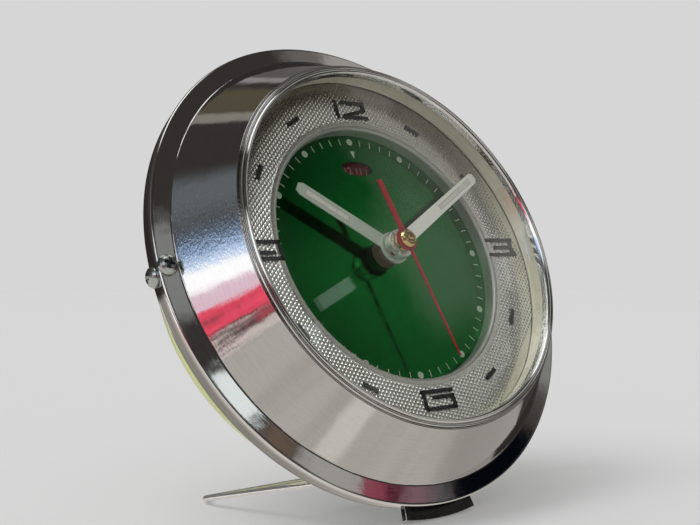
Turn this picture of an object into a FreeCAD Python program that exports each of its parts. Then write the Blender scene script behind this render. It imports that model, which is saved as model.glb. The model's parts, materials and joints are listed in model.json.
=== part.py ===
import FreeCAD, Part
import math
import os

# Mechanical alarm clock: a chromed front shell with a green dial, a painted
# rear case, a wire stand and the whole spring-driven movement inside.
# The clock is drawn in its own frame, with x towards three o'clock, y towards
# twelve o'clock, z straight out of the dial and z = 0 on the top of the dial.
# It is leant back and lifted onto the table when each piece is kept.
# All lengths are in millimetres and all angles in degrees.

Vec = FreeCAD.Vector
ORIGIN = Vec(0, 0, 0)
X_AXIS = Vec(1, 0, 0)
Y_AXIS = Vec(0, 1, 0)
Z_AXIS = Vec(0, 0, 1)

# Stance on the table
lean = 25.0

# Fits and sheet
running = 0.05
free_gap = 0.4
end_gap = 0.3
sheet = 0.6

# Front shell: sleeve, flange and skirt
sleeve_front_r = 48.95
sleeve_front_z = 10.7
sleeve_base_r = 58.2
sleeve_base_z = -2.9
flange_width = 4.8
flange_slope = 1 / 6
rim_chamfer = 0.25
skirt_draw = 0.7
skirt_depth = 4.7
rim_r = sleeve_base_r + flange_width
rim_z = sleeve_base_z - flange_slope * flange_width
skirt_rear_r = rim_r - skirt_draw
skirt_rear_z = rim_z - skirt_depth
skirt_slope = (rim_r - skirt_rear_r) / (rim_z - rim_chamfer - skirt_rear_z)
lip_inner_r = 47.0
lip_top_z = sleeve_front_z - 0.7
lip_under_z = lip_top_z - sheet

# Bezel: a flat ring with a thin outer ridge and a thick inner one
bezel_inner_r = 46.4
bezel_outer_r = sleeve_front_r - 0.45
bezel_fit = 0.05
bezel_body_z = lip_top_z + 1.1
bezel_chamfer = 0.25
outer_ridge_r = 48.1
outer_ridge = 0.35
inner_ridge_r = 47.1
inner_ridge = 0.6

# Crystal and inner wall
crystal_r = 47.9
crystal_rim = 1.6
crystal_dome_r = 46.2
crystal_rise = 4.6
crystal_thick = 1.4
wall_r = 47.4
wall_thick = 0.9

# Dial and chapter ring
dial_r = wall_r + wall_thick
dial_thick = 0.6
window_y = 24.4
window_half_w = 5.15
window_half_h = 2.1
chapter_inner_r = 34.0
chapter_top_z = 3.7
chapter_sheet = 0.5
chapter_bend = 0.9

# Markings on the chapter ring
mark_thick = 0.12
numeral_inset = 1.1
bar_inset = 0.5
bar_length = 4.5
bar_width = 1.1
stroke = 0.85
numeral_w = 10.3
numeral_h = 5.15
bar_gap = 0.65
figure_gap = 1.5
notch_reach = 0.9
ring_middle_r = (chapter_inner_r + wall_r) / 2
numeral_r = ring_middle_r - numeral_inset
bar_r = ring_middle_r - bar_inset

# Hands, measured clockwise from twelve o'clock
hour_angle = 305.0
minute_angle = 60.3
second_angle = 168.5
hour_hand_z = 3.9
minute_hand_z = 6.9
second_hand_z = 9.2
hand_thick = 0.3
hub_thick = 0.6
hub_r = 4.2
hour_hand_r = 30.0
hour_hand_w = 4.3
hour_tip_w = 4.1
minute_hand_r = 39.3
minute_hand_w = 3.6
minute_tip_w = 3.2
tip_corner_w = 0.28
tip_corner_l = 0.39
minute_hub_r = 3.7
minute_hub_down = 1.7
minute_hub_up = 0.3
cannon_proud = 0.1
notch_width = 1.0
notch_depth = 1.1
notch_dir = 225.0
second_tip_r = 31.4
second_root_w = 1.1
second_tip_w = 0.5
second_tail_r = 16.6
second_tail_w = 1.7
second_hub_r = 3.1
boss_r = 2.6
boss_cap_r = 2.4
boss_neck_r = 1.4
boss_low = second_hand_z - 1.3
boss_cap_h = 1.4
boss_dimple = 0.7

# Nested pipes through the centre, from the inside out
seconds_arbor_r = 0.6
centre_arbor_r = 1.2
cannon_r = 1.8
hour_pipe_r = 2.5
alarm_bush_r = 3.2
dial_hole_r = 3.3
dial_bush_r = 3.65
dial_bush_z = 3.0
dial_bush_bore_r = hour_pipe_r + 0.35

# Movement plates, pillars and the case behind them
plate_r = 42.0
plate_thick = 1.5
front_plate_z = -6.0
back_plate_z = -23.0
case_step = 12.5
case_r = rim_r - case_step
case_back_z = -28.0
case_flange_inset = 1.6
case_flange_sink = 0.6
case_flange_r = rim_r - case_flange_inset
case_flange_z = skirt_rear_z + case_flange_sink
case_corner = 2.5
case_hole_gap = 0.6
pillar_r = 2.0
pillar_ring_r = 38.5
pillar_angles = (75, 165, 262, 357)
thread_r = 1.0
thread_share = 1.6
nut_r = 2.4
movement_head_r = 2.3
movement_head_h = 1.6
dial_foot_ring_r = 33.5
dial_foot_angles = (45, 140, 240)
dial_foot_r = 1.6
dial_spigot_r = 0.9
front_plate_back = front_plate_z - plate_thick
back_plate_back = back_plate_z - plate_thick
case_back_outer = case_back_z - sheet

# Gears: tooth shape, counts and modules
tooth_tip = 0.9
tooth_root = 1.2
minute_module = 0.5
hour_module = 0.48
cannon_teeth = 12
minute_wheel_teeth = 36
minute_pinion_teeth = 10
hour_wheel_teeth = 40
alarm_module = 0.6
alarm_wheel_teeth = 48
alarm_pinion_teeth = 12
great_module = 0.65
time_great_teeth = 60
alarm_great_teeth = 48
centre_pinion_teeth = 12
centre_wheel_teeth = 64
pinion_leaves = 8
third_wheel_teeth = 60
seconds_wheel_teeth = 64
seconds_module = 0.5
spoke_w = 1.8
spoke_hub = 1.6
wheel_thick = 0.8
pinion_over = 0.6

# Escapement and balance
escape_teeth = 15
escape_r = 7.0
escape_tooth = 2.0
fork_thick = 0.8
fork_gap = 0.7
pin_gap = 0.3
escape_to_pallet = 8.5
pallet_to_balance = 10.5
pallet_pin_r = 0.35
pallet_pin_x = -2.9
pallet_pin_y = 4.1
impulse_r = 2.4
impulse_pin_r = 0.3
roller_r = 3.0
roller_thick = 0.6
balance_r = 9.0
balance_rim = 1.2
balance_thick = 1.2
balance_bar_w = 1.6
collet_r = 1.5
hairspring_r = 5.6
hairspring_width = 0.12
hairspring_tall = 0.6
hairspring_turns = 6.5
hairspring_stud_r = 0.6

# Arbors and their pivots
arbor_r = 0.8
fine_arbor_r = 0.6
escape_arbor_r = 0.7
pivot_r = 0.45
stud_r = 0.8
set_arbor_r = 0.9
winding_arbor_r = 2.0
winding_neck_r = 1.6
winding_pivot_r = 1.2
key_stem_r = 1.4
centre_shoulder_r = 1.9

# Wheel levels, back from the front plate or forward from the back plate
cannon_teeth_low = front_plate_z + 0.4
cannon_teeth_high = front_plate_z + 1.6
minute_pinion_top = front_plate_z + 2.9
alarm_low = minute_pinion_top + end_gap
alarm_disc_low = alarm_low + 1.2
alarm_disc_thick = 0.4
centre_wheel_low = front_plate_back - 1.9
great_low = front_plate_back - 4.5
great_thick = 1.2
third_low = great_low - 2.6
spring_high = great_low - 1.0
spring_tall = 5.6
escape_low = back_plate_z + 5.1
seconds_low = back_plate_z + 2.4
hairspring_low = back_plate_z + 1.0

# Mainsprings
time_spring_r = 15.6
time_spring_turns = 8
alarm_spring_r = 12.0
alarm_spring_turns = 6
spring_strip = 0.3

# Alarm side
alarm_disc_r = 28.5
alarm_right = 20.6
alarm_below = 14.5
hammer_right = 6.4
hammer_below = 31.6
head_left = 2.0
head_below = 46.0
alarm_at = Vec(alarm_right, -alarm_below, 0)
hammer_at = Vec(hammer_right, -hammer_below, 0)
hammer_head_at = Vec(-head_left, -head_below, 0)
hammer_head_r = 2.0
hammer_head_tall = 4.8
hammer_arm_w = 1.6
hammer_arm_thick = 0.8
verge_reach = 3.6
alarm_escape_teeth = 12
alarm_escape_r = 5.0
alarm_escape_tooth = 1.4

# Winding and setting work at the back
ratchet_teeth = 18
ratchet_r = 5.2
ratchet_tooth = 1.0
ratchet_thick = 1.0
ratchet_z = back_plate_back - 1.7
click_reach = 9.5
click_r = 2.0
click_pivot_r = 0.8
click_gap = 0.2
time_click_dir = 150.0
alarm_click_dir = 30.0
knob_r = 5.2
knob_z = case_back_outer - 1.4
knob_thick = 5.0
knob_ribs = 28
knob_rib = 0.35
knob_boss_r = 2.0
key_hub_r = 3.3
key_hub_h = 4.6
key_hub_z = case_back_outer - 0.8
key_wing_w = 25.0
key_wing_h = 11.0
key_wing_thick = 1.8
key_wing_drop = 1.3
key_web_inset = 2.1
key_web_trim = 2.5
key_eye_r = 2.0
time_key_dir = 20.0
alarm_key_dir = -35.0
regulator_boss_r = 2.9
regulator_ring = 1.6
regulator_thick = 0.8
regulator_r = 11.0
regulator_w = 1.8
regulator_tab = 1.0
regulator_end_z = case_back_outer - 3.0
regulator_dir = 135.0
regulator_swing = 20.0
button_above = 38.5
button_at = Vec(0, button_above, 0)
button_stem_r = 1.3
button_collar_r = 2.1
button_cap_r = 3.2
button_cap_h = 2.2
button_travel = 1.0
button_collar_h = 0.8
button_out = 3.4
button_in = 2.0

# Foot and wire stand
foot_reach = 2.7
foot_r = rim_r + foot_reach
foot_thick = 1.6
foot_front_z = -6.5
foot_half_angle = 10.0
foot_flat = 0.35
wire_r = 0.7
stand_pivot_inset = 4.0
stand_pivot_r = rim_r - stand_pivot_inset
stand_pivot_x = 28.0
stand_pivot_z = -11.0
stand_pin = 4.0
stand_half_w = 37.5
stand_reach_y = 29.5
stand_bend = 5.0
hinge_bend = 1.2
ear_inset = 2.4
ear_thick = 0.8
ear_w = 5.0
ear_below = 1.8
tongue_w = 4.6
tongue_start = 1.4
tongue_length = 2.2
tongue_thick = 0.7

# Rim fixing screws
screw_head_r = 2.45
screw_head_h = 2.0
screw_shank_r = 0.9
screw_length = 1.8
screw_seat = 0.05
flange_screw_out = 0.15
flange_screw_r = sleeve_base_r + flange_width / 2 + flange_screw_out
side_screw_drop = 2.9
side_screw_z = rim_z - side_screw_drop
side_screw_turn = 1.3
block_half_angle = 3.2
block_inner_r = sleeve_base_r - 0.1
block_outer_r = case_flange_r + 0.2


# Arbor places
def polar(radius, angle):
    a = math.radians(angle)
    return Vec(radius * math.cos(a), radius * math.sin(a), 0)


minute_dir = 150.0
third_dir = 90.0
escape_dir = 20.0
time_dir = 215.0
alarm_set_dir = 277.0
alarm_escape_dir = 250.0

centre_to_minute = minute_module * (cannon_teeth + minute_wheel_teeth) / 2
centre_to_third = minute_module * (centre_wheel_teeth + pinion_leaves) / 2
third_module = 2 * centre_to_third / (third_wheel_teeth + pinion_leaves)
centre_to_escape = seconds_module * (seconds_wheel_teeth + pinion_leaves) / 2
centre_to_pallet = centre_to_escape + escape_to_pallet
centre_to_balance = centre_to_pallet + pallet_to_balance
centre_to_time = great_module * (time_great_teeth + centre_pinion_teeth) / 2
centre_to_alarm_set = alarm_module * (alarm_wheel_teeth + alarm_pinion_teeth) / 2
alarm_to_escape = great_module * (alarm_great_teeth + pinion_leaves) / 2

minute_at = polar(centre_to_minute, minute_dir)
time_set_at = polar(2 * centre_to_minute, minute_dir)
third_at = polar(centre_to_third, third_dir)
escape_at = polar(centre_to_escape, escape_dir)
pallet_at = polar(centre_to_pallet, escape_dir)
balance_at = polar(centre_to_balance, escape_dir)
time_at = polar(centre_to_time, time_dir)
alarm_set_at = polar(centre_to_alarm_set, alarm_set_dir)
alarm_escape_at = alarm_at + polar(alarm_to_escape, alarm_escape_dir)
time_click_at = time_at + polar(click_reach, time_click_dir)
alarm_click_at = alarm_at + polar(click_reach, alarm_click_dir)
pillar_spots = [polar(pillar_ring_r, a) for a in pillar_angles]
foot_spots = [polar(dial_foot_ring_r, a) for a in dial_foot_angles]

# The foot's lowest edge sets how high the dial stands above the table
foot_rear_z = foot_front_z - foot_thick
lean_cos = math.cos(math.radians(lean))
lean_sin = math.sin(math.radians(lean))
table_drop = foot_r * lean_cos - foot_rear_z * lean_sin - foot_flat
nodes = {}


def to_table(shape):
    """Lean a shape back and lift it so that the foot and the stand touch z = 0."""
    turn = FreeCAD.Rotation(X_AXIS, 90 - lean)
    return shape.transformed(FreeCAD.Placement(Vec(0, 0, table_drop), turn).toMatrix())


def keep(name, *solids):
    """Stand the solids of one node on the table and hold them under its name."""
    nodes[name] = [to_table(s) for s in solids]


def write_nodes():
    """Write each node, with the origin under the middle of the clock's outline."""
    box = FreeCAD.BoundBox()
    for solids in nodes.values():
        for solid in solids:
            box.add(solid.optimalBoundingBox(False, False))
    middle = Vec((box.XMin + box.XMax) / 2, (box.YMin + box.YMax) / 2, 0)
    print("outline", box, "origin moved by", middle)
    for name, solids in nodes.items():
        whole = solids[0] if len(solids) == 1 else Part.makeCompound(solids)
        whole = moved(whole, middle * -1)
        whole.exportStep(os.path.join("parts", name + ".step"))
        print(name, len(whole.Solids), "solids", round(whole.Volume, 2), "mm3", whole.isValid())


def tube(outer, inner, low, high, at=ORIGIN):
    """A cylinder along z, or a tube where the inner radius isn't zero."""
    base = Vec(at.x, at.y, low)
    body = Part.makeCylinder(outer, high - low, base, Z_AXIS)
    if inner > 0:
        body = body.cut(Part.makeCylinder(inner, high - low, base, Z_AXIS))
    return body


def turned(points):
    """Turn a closed profile of (radius, z) points about the z axis."""
    corners = [Vec(r, 0, z) for r, z in points]
    corners.append(corners[0])
    return Part.Face(Part.makePolygon(corners)).revolve(ORIGIN, Z_AXIS, 360)


def slab(points, low, high):
    """A flat plate with the outline given by (x, y) points."""
    corners = [Vec(x, y, low) for x, y in points]
    corners.append(corners[0])
    return Part.Face(Part.makePolygon(corners)).extrude(Vec(0, 0, high - low))


def moved(shape, by):
    """A copy of the shape, moved by a vector."""
    copy = shape.copy()
    copy.translate(by)
    return copy


def turned_by(shape, angle, about=ORIGIN):
    """A copy of the shape, turned anticlockwise about a line along z."""
    copy = shape.copy()
    copy.rotate(about, Z_AXIS, angle)
    return copy


def drilled(body, holes, low, high):
    """Cut round holes, each given as a place and a radius."""
    for at, radius in holes:
        body = body.cut(tube(radius, 0, low, high, at))
    return body


def joined(first, *others):
    """One solid from pieces that touch or overlap."""
    return first.fuse(list(others)).removeSplitter()


# Gears
def gear_points(teeth, module, phase):
    """Outline of a gear with straight-sided teeth and backlash."""
    pitch = module * teeth / 2
    step = 360 / teeth
    root = pitch - tooth_root * module
    tip = pitch + tooth_tip * module
    points = []
    for i in range(teeth):
        middle = phase + i * step
        for radius, share in ((root, -0.28), (pitch, -0.2), (tip, -0.12),
                              (tip, 0.12), (pitch, 0.2), (root, 0.28)):
            spot = polar(radius, middle + share * step)
            points.append((spot.x, spot.y))
    return points


def gear(teeth, module, phase, bore, low, high, at=ORIGIN):
    """A gear with a round bore."""
    body = slab(gear_points(teeth, module, phase), low, high)
    body = body.cut(tube(bore, 0, low, high))
    return moved(body, at)


def spoked_gear(teeth, module, phase, bore, low, high, at=ORIGIN):
    """A wheel whose web is crossed out to four spokes."""
    pitch = module * teeth / 2
    outer = pitch - 3.2 * module
    inner = bore + spoke_hub
    body = slab(gear_points(teeth, module, phase), low, high)
    body = body.cut(tube(bore, 0, low, high))
    web = tube(outer, inner, low, high)
    cross = Part.makeBox(2 * outer + 2, spoke_w, high - low, Vec(-outer - 1, -spoke_w / 2, low))
    web = web.cut(turned_by(cross, phase)).cut(turned_by(cross, phase + 90))
    return moved(body.cut(web), at)


def mesh_phase(teeth_a, phase_a, at_a, teeth_b, at_b):
    """Tooth phase that puts gear b in mesh with gear a."""
    line = math.degrees(math.atan2(at_b.y - at_a.y, at_b.x - at_a.x))
    share = (line - phase_a) * teeth_a / 360
    return line + 180 - (0.5 - share) * 360 / teeth_b


def spiral(inner, outer, turns, width, low, high, at):
    """A flat coiled spring made of straight steps."""
    steps = int(turns * 24)
    inside = []
    outside = []
    for i in range(steps + 1):
        radius = inner + (outer - inner) * i / steps
        angle = 360 * turns * i / steps
        near = polar(radius, angle)
        far = polar(radius + width, angle)
        inside.append((near.x + at.x, near.y + at.y))
        outside.append((far.x + at.x, far.y + at.y))
    return slab(inside + outside[::-1], low, high)


# Screws
def pan_screw(head_r, head_h, shank_r, shank_length):
    """A cross-recessed pan-head screw that seats at z = 0 and points up."""
    side = head_h * 0.45
    head = Part.Wire([
        Part.makeLine(Vec(0, 0, 0), Vec(head_r, 0, 0)),
        Part.makeLine(Vec(head_r, 0, 0), Vec(head_r, 0, side)),
        Part.Arc(Vec(head_r, 0, side), Vec(head_r * 0.72, 0, head_h * 0.88),
                 Vec(0, 0, head_h)).toShape(),
        Part.makeLine(Vec(0, 0, head_h), Vec(0, 0, 0)),
    ])
    body = Part.Face(head).revolve(ORIGIN, Z_AXIS, 360)
    arm = head_r * 0.62
    slot_w = head_r * 0.26
    for angle in (0, 90):
        slot = Part.makeBox(2 * arm, slot_w, head_h, Vec(-arm, -slot_w / 2, head_h * 0.4))
        body = body.cut(turned_by(slot, angle))
    shank = tube(shank_r, 0, -shank_length, 0.01)
    return joined(body, shank)


def seated(screw, place, normal):
    """Stand a screw at a place with its head along a normal."""
    copy = screw.copy()
    turn = FreeCAD.Rotation(Z_AXIS, normal)
    return copy.transformed(FreeCAD.Placement(place, turn).toMatrix())


def rim_pair(shape):
    """The same piece at nine o'clock and at three o'clock."""
    return [turned_by(shape, 180), shape]


os.makedirs("parts", exist_ok=True)

# Front shell, turned from one profile, with holes for the rim screws
def flange_top(radius):
    return sleeve_base_z - (radius - sleeve_base_r) * flange_slope


def skirt_outside(z):
    return skirt_rear_r + (z - skirt_rear_z) * skirt_slope


sleeve_run = (sleeve_base_r - sleeve_front_r) / (sleeve_front_z - sleeve_base_z)
sleeve_wall = sheet * math.hypot(1, sleeve_run)
sheet_down = sheet * math.hypot(1, flange_slope)


def sleeve_inside(z):
    return sleeve_front_r + (sleeve_front_z - z) * sleeve_run - sleeve_wall


def flange_under(radius):
    return flange_top(radius) - sheet_down


# The inner lines of the sleeve and of the flange meet at this radius
inner_corner_r = (sleeve_inside(flange_under(0))) / (1 - sleeve_run * flange_slope)
shell_profile = [
    (lip_inner_r, lip_top_z),
    (bezel_outer_r + bezel_fit, lip_top_z),
    (bezel_outer_r + bezel_fit, sleeve_front_z),
    (sleeve_front_r, sleeve_front_z),
    (sleeve_base_r, sleeve_base_z),
    (rim_r - rim_chamfer, flange_top(rim_r - rim_chamfer)),
    (rim_r, rim_z - rim_chamfer),
    (skirt_rear_r, skirt_rear_z),
    (skirt_rear_r - sheet, skirt_rear_z),
    (skirt_outside(flange_under(rim_r)) - sheet, flange_under(rim_r)),
    (rim_r - sheet - rim_chamfer, flange_under(rim_r - sheet - rim_chamfer)),
    (inner_corner_r, flange_under(inner_corner_r)),
    (sleeve_inside(lip_under_z), lip_under_z),
    (lip_inner_r, lip_under_z),
]
front_shell = turned(shell_profile)

flange_normal = Vec(flange_slope, 0, 1).normalize()
flange_seat = Vec(flange_screw_r, 0, flange_top(flange_screw_r))
rim_screw = pan_screw(screw_head_r, screw_head_h, screw_shank_r, screw_length)
flange_screw = seated(rim_screw, flange_seat, flange_normal)
skirt_normal = Vec(1, 0, -skirt_slope).normalize()
side_seat = Vec(skirt_outside(side_screw_z) + screw_seat, 0, side_screw_z)
side_screw = turned_by(seated(rim_screw, side_seat, skirt_normal), side_screw_turn)


def screw_hole(place, normal):
    """A straight hole that follows a rim screw into the metal."""
    return Part.makeCylinder(screw_shank_r, 1.0 + screw_length, place + normal, normal * -1)


flange_hole = screw_hole(flange_seat, flange_normal)
side_hole = turned_by(screw_hole(side_seat, skirt_normal), side_screw_turn)
for hole in rim_pair(flange_hole) + rim_pair(side_hole):
    front_shell = front_shell.cut(hole)
keep("front_shell", front_shell)

# Bezel with two polished ridges, pressed into the front of the shell
bezel = turned([
    (bezel_inner_r, lip_under_z),
    (lip_inner_r - bezel_fit, lip_under_z),
    (lip_inner_r - bezel_fit, lip_top_z),
    (bezel_outer_r, lip_top_z),
    (bezel_outer_r, bezel_body_z),
    (bezel_inner_r + bezel_chamfer, bezel_body_z),
    (bezel_inner_r, bezel_body_z - bezel_chamfer),
])
for ridge_r, ridge in ((outer_ridge_r, outer_ridge), (inner_ridge_r, inner_ridge)):
    bezel = bezel.fuse(Part.makeTorus(ridge_r, ridge, Vec(0, 0, bezel_body_z), Z_AXIS))
keep("front_bezel", bezel.removeSplitter())

# Domed crystal, clamped by its flat rim under the shell's lip
crystal_low = lip_under_z - crystal_rim
inner_top = crystal_low + crystal_rise
outer_top = inner_top + crystal_thick


def dome_point(radius, edge_z, top_z):
    """Height of a dome of constant curvature at a radius."""
    rise = top_z - edge_z
    ball = (crystal_dome_r ** 2 + rise ** 2) / (2 * rise)
    return top_z - ball + math.sqrt(ball ** 2 - radius ** 2)


half_r = crystal_dome_r / 2
crystal_edge = Part.Wire([
    Part.makeLine(Vec(0, 0, inner_top), Vec(0, 0, outer_top)),
    Part.Arc(Vec(0, 0, outer_top), Vec(half_r, 0, dome_point(half_r, lip_under_z, outer_top)),
             Vec(crystal_dome_r, 0, lip_under_z)).toShape(),
    Part.makeLine(Vec(crystal_dome_r, 0, lip_under_z), Vec(crystal_r, 0, lip_under_z)),
    Part.makeLine(Vec(crystal_r, 0, lip_under_z), Vec(crystal_r, 0, crystal_low)),
    Part.makeLine(Vec(crystal_r, 0, crystal_low), Vec(crystal_dome_r, 0, crystal_low)),
    Part.Arc(Vec(crystal_dome_r, 0, crystal_low),
             Vec(half_r, 0, dome_point(half_r, crystal_low, inner_top)),
             Vec(0, 0, inner_top)).toShape(),
])
keep("crystal", Part.Face(crystal_edge).revolve(ORIGIN, Z_AXIS, 360))

# Ivory inner wall between the crystal and the chapter ring
keep("inner_wall_ring", tube(wall_r + wall_thick, wall_r, chapter_top_z, crystal_low))

# Silver chapter ring: a shallow channel with a rounded inner edge
bend_end_r = chapter_inner_r + chapter_bend
bend_low_z = chapter_top_z - chapter_bend
bend_middle = chapter_bend * (1 - math.sqrt(0.5))
ring_wall_r = dial_r - chapter_sheet
ring_under_z = chapter_top_z - chapter_sheet
bend_arc = Part.Arc(Vec(chapter_inner_r, 0, bend_low_z),
                    Vec(chapter_inner_r + bend_middle, 0, chapter_top_z - bend_middle),
                    Vec(bend_end_r, 0, chapter_top_z)).toShape()
chapter_corners = Part.makePolygon([
    Vec(bend_end_r, 0, chapter_top_z),
    Vec(dial_r, 0, chapter_top_z),
    Vec(dial_r, 0, 0),
    Vec(ring_wall_r, 0, 0),
    Vec(ring_wall_r, 0, ring_under_z),
    Vec(bend_end_r, 0, ring_under_z),
    Vec(chapter_inner_r + chapter_sheet, 0, bend_low_z),
    Vec(chapter_inner_r + chapter_sheet, 0, 0),
    Vec(chapter_inner_r, 0, 0),
    Vec(chapter_inner_r, 0, bend_low_z),
])
chapter_wire = Part.Wire([bend_arc] + chapter_corners.Edges)
keep("chapter_ring", Part.Face(chapter_wire).revolve(ORIGIN, Z_AXIS, 360))


# Black numerals built from straight strokes, and bars at the other hours
half_w = numeral_w / 2
half_h = numeral_h / 2
edge_x = half_w - stroke / 2
edge_y = half_h - stroke / 2
inner_y = edge_y - stroke - bar_gap
one_x = -edge_x + stroke / 2
two_left = one_x + stroke / 2 + figure_gap


def stroke_bar(start, end):
    """Straight raised stroke between two points on the ring's top."""
    along = Vec(*end, 0) - Vec(*start, 0)
    bar = Part.makeBox(along.Length, stroke, mark_thick, Vec(0, -stroke / 2, 0))
    bar.rotate(ORIGIN, Z_AXIS, math.degrees(math.atan2(along.y, along.x)))
    bar.translate(Vec(*start, chapter_top_z))
    return bar


def figure(lines, at):
    """Figure made of straight strokes about its centre."""
    bars = [stroke_bar(start, end) for start, end in lines]
    return moved(bars[0] if len(bars) == 1 else joined(*bars), at)


one = [((one_x, -half_h), (one_x, half_h))]
two = [
    ((two_left, edge_y), (half_w, edge_y)),
    ((edge_x, half_h), (edge_x, 0)),
    ((half_w, stroke / 4), (two_left - stroke / 4, stroke / 4 - edge_y)),
    ((two_left - stroke / 2, -edge_y), (half_w, -edge_y)),
]
three = [
    ((-half_w, edge_y), (half_w, edge_y)),
    ((-half_w, -edge_y), (half_w, -edge_y)),
    ((-half_w / 2, 0), (edge_x - notch_reach, 0)),
    ((edge_x, edge_y), (edge_x - notch_reach, 0)),
    ((edge_x, -edge_y), (edge_x - notch_reach, 0)),
]
six = [
    ((-half_w, edge_y), (half_w, edge_y)),
    ((-half_w, -edge_y), (half_w, -edge_y)),
    ((-edge_x, -half_h), (-edge_x, half_h)),
    ((edge_x, -half_h), (edge_x, inner_y + stroke / 2)),
    ((-edge_x / 2, inner_y), (half_w, inner_y)),
]
nine = [((-a[0], -a[1]), (-b[0], -b[1])) for a, b in six]
numerals = [
    figure(one, Vec(0, numeral_r, 0)),
    figure(two, Vec(0, numeral_r, 0)),
    figure(three, Vec(numeral_r, 0, 0)),
    figure(six, Vec(0, -numeral_r, 0)),
    figure(nine, Vec(-numeral_r, 0, 0)),
]

hour_bar = Part.makeBox(bar_width, bar_length, mark_thick,
                        Vec(bar_r - bar_width / 2, -bar_length / 2, chapter_top_z))
bar_angles = [a for a in range(0, 360, 30) if a % 90]
keep("chapter_markings", *(numerals + [turned_by(hour_bar, a) for a in bar_angles]))

# Green dial plate with its oval alarm window
dial = tube(dial_r, dial_hole_r, -dial_thick, 0)
window = Part.Wire(Part.Ellipse(Vec(0, window_y, -1), window_half_w, window_half_h).toShape())
dial = dial.cut(Part.Face(window).extrude(Vec(0, 0, 2)))

dial_bushing = turned([
    (dial_bush_bore_r, -dial_thick),
    (dial_hole_r, -dial_thick),
    (dial_hole_r, 0),
    (dial_bush_r, 0),
    (dial_bush_r, dial_bush_z - 0.3),
    (dial_bush_r - 0.3, dial_bush_z),
    (dial_bush_bore_r, dial_bush_z),
])
keep("dial_bushing", dial_bushing)

# Feet soldered under the dial, with spigots that pass through the front plate
for spot in foot_spots:
    dial = dial.fuse(tube(dial_foot_r, 0, front_plate_z, -dial_thick, spot))
    dial = dial.fuse(tube(dial_spigot_r, 0, front_plate_back, front_plate_z, spot))
keep("dial_plate", dial.removeSplitter())


# Hands: flat blades along +y, then turned to their places
def hand_place(shape, clock_angle):
    return turned_by(shape, -clock_angle)


def blade(root_w, tip_w, length, low):
    """A flat hand blade that tapers along +y and has its tip's corners cut off."""
    shoulder = length - tip_corner_l * tip_w
    end_half = tip_w / 2 - tip_corner_w * tip_w
    points = [(-root_w / 2, 0), (-tip_w / 2, shoulder), (-end_half, length),
              (end_half, length), (tip_w / 2, shoulder), (root_w / 2, 0)]
    return slab(points, low, low + hand_thick)


hour_hand = joined(blade(hour_hand_w, hour_tip_w, hour_hand_r, hour_hand_z),
                   tube(hub_r, 0, hour_hand_z, hour_hand_z + hub_thick))
hour_hand = hour_hand.cut(tube(hour_pipe_r, 0, hour_hand_z, hour_hand_z + hub_thick))
keep("hour_hand", hand_place(hour_hand, hour_angle))

minute_hub_low = minute_hand_z - minute_hub_down
minute_hub_top = minute_hand_z + hand_thick + minute_hub_up
minute_hand = joined(blade(minute_hand_w, minute_tip_w, minute_hand_r, minute_hand_z),
                     tube(minute_hub_r, 0, minute_hub_low, minute_hub_top))
minute_hand = minute_hand.cut(tube(cannon_r, 0, minute_hub_low, minute_hub_top))
hub_notch = Part.makeBox(notch_depth + 1, notch_width, minute_hub_top - minute_hub_low,
                         Vec(minute_hub_r - notch_depth, -notch_width / 2, minute_hub_low))
minute_hand = minute_hand.cut(turned_by(hub_notch, notch_dir + minute_angle))
keep("minute_hand", hand_place(minute_hand, minute_angle))

second_low = second_hand_z
second_high = second_hand_z + hand_thick
second_tail = turned_by(blade(second_tail_w, second_tail_w, second_tail_r, second_low), 180)
second_hand = joined(blade(second_root_w, second_tip_w, second_tip_r, second_low), second_tail,
                     tube(second_hub_r, 0, second_low, second_high))
second_hand = second_hand.cut(tube(boss_neck_r, 0, second_low, second_high))
keep("second_hand", hand_place(second_hand, second_angle))

# The boss is riveted through the second hand and has a dished top
boss_top = second_high + boss_cap_h
second_boss = turned([
    (0, boss_low),
    (boss_r, boss_low),
    (boss_r, second_low),
    (boss_neck_r, second_low),
    (boss_neck_r, second_high),
    (boss_cap_r, second_high),
    (boss_cap_r, second_high + 0.4 * boss_cap_h),
    (0.8 * boss_cap_r, boss_top - 0.1 * boss_cap_h),
    (0.55 * boss_cap_r, boss_top),
    (0, boss_top - boss_dimple),
])
seconds_arbor_top = second_high + end_gap
second_boss = second_boss.cut(tube(seconds_arbor_r, 0, boss_low, seconds_arbor_top))
keep("second_hand_boss", second_boss)

# Motion work between the dial and the front plate
cannon_phase = 0.0
cannon_low = front_plate_z + 0.1
cannon_top = minute_hub_top + cannon_proud
cannon_pinion = joined(
    tube(cannon_r, 0, cannon_low, cannon_top),
    slab(gear_points(cannon_teeth, minute_module, cannon_phase), cannon_teeth_low, cannon_teeth_high),
).cut(tube(centre_arbor_r + running, 0, cannon_low, cannon_top))
keep("cannon_pinion", cannon_pinion)

minute_phase = mesh_phase(cannon_teeth, cannon_phase, ORIGIN, minute_wheel_teeth, minute_at)
minute_low = cannon_teeth_low + 0.1
minute_high = cannon_teeth_high - 0.1
minute_bore = stud_r + running
keep("minute_wheel", joined(
    spoked_gear(minute_wheel_teeth, minute_module, minute_phase, minute_bore, minute_low, minute_high,
                minute_at),
    gear(minute_pinion_teeth, hour_module, 0, minute_bore, minute_high, minute_pinion_top, minute_at)))

hour_phase = mesh_phase(minute_pinion_teeth, 0, minute_at, hour_wheel_teeth, ORIGIN)
hour_high = minute_pinion_top
hour_low = hour_high - wheel_thick
hour_pipe_top = hour_hand_z + hub_thick + end_gap
hour_wheel = joined(
    tube(hour_pipe_r, 0, hour_low, hour_pipe_top),
    slab(gear_points(hour_wheel_teeth, hour_module, hour_phase), hour_low, hour_high),
).cut(tube(cannon_r + running, 0, hour_low, hour_pipe_top))
keep("hour_wheel", hour_wheel)

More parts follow.
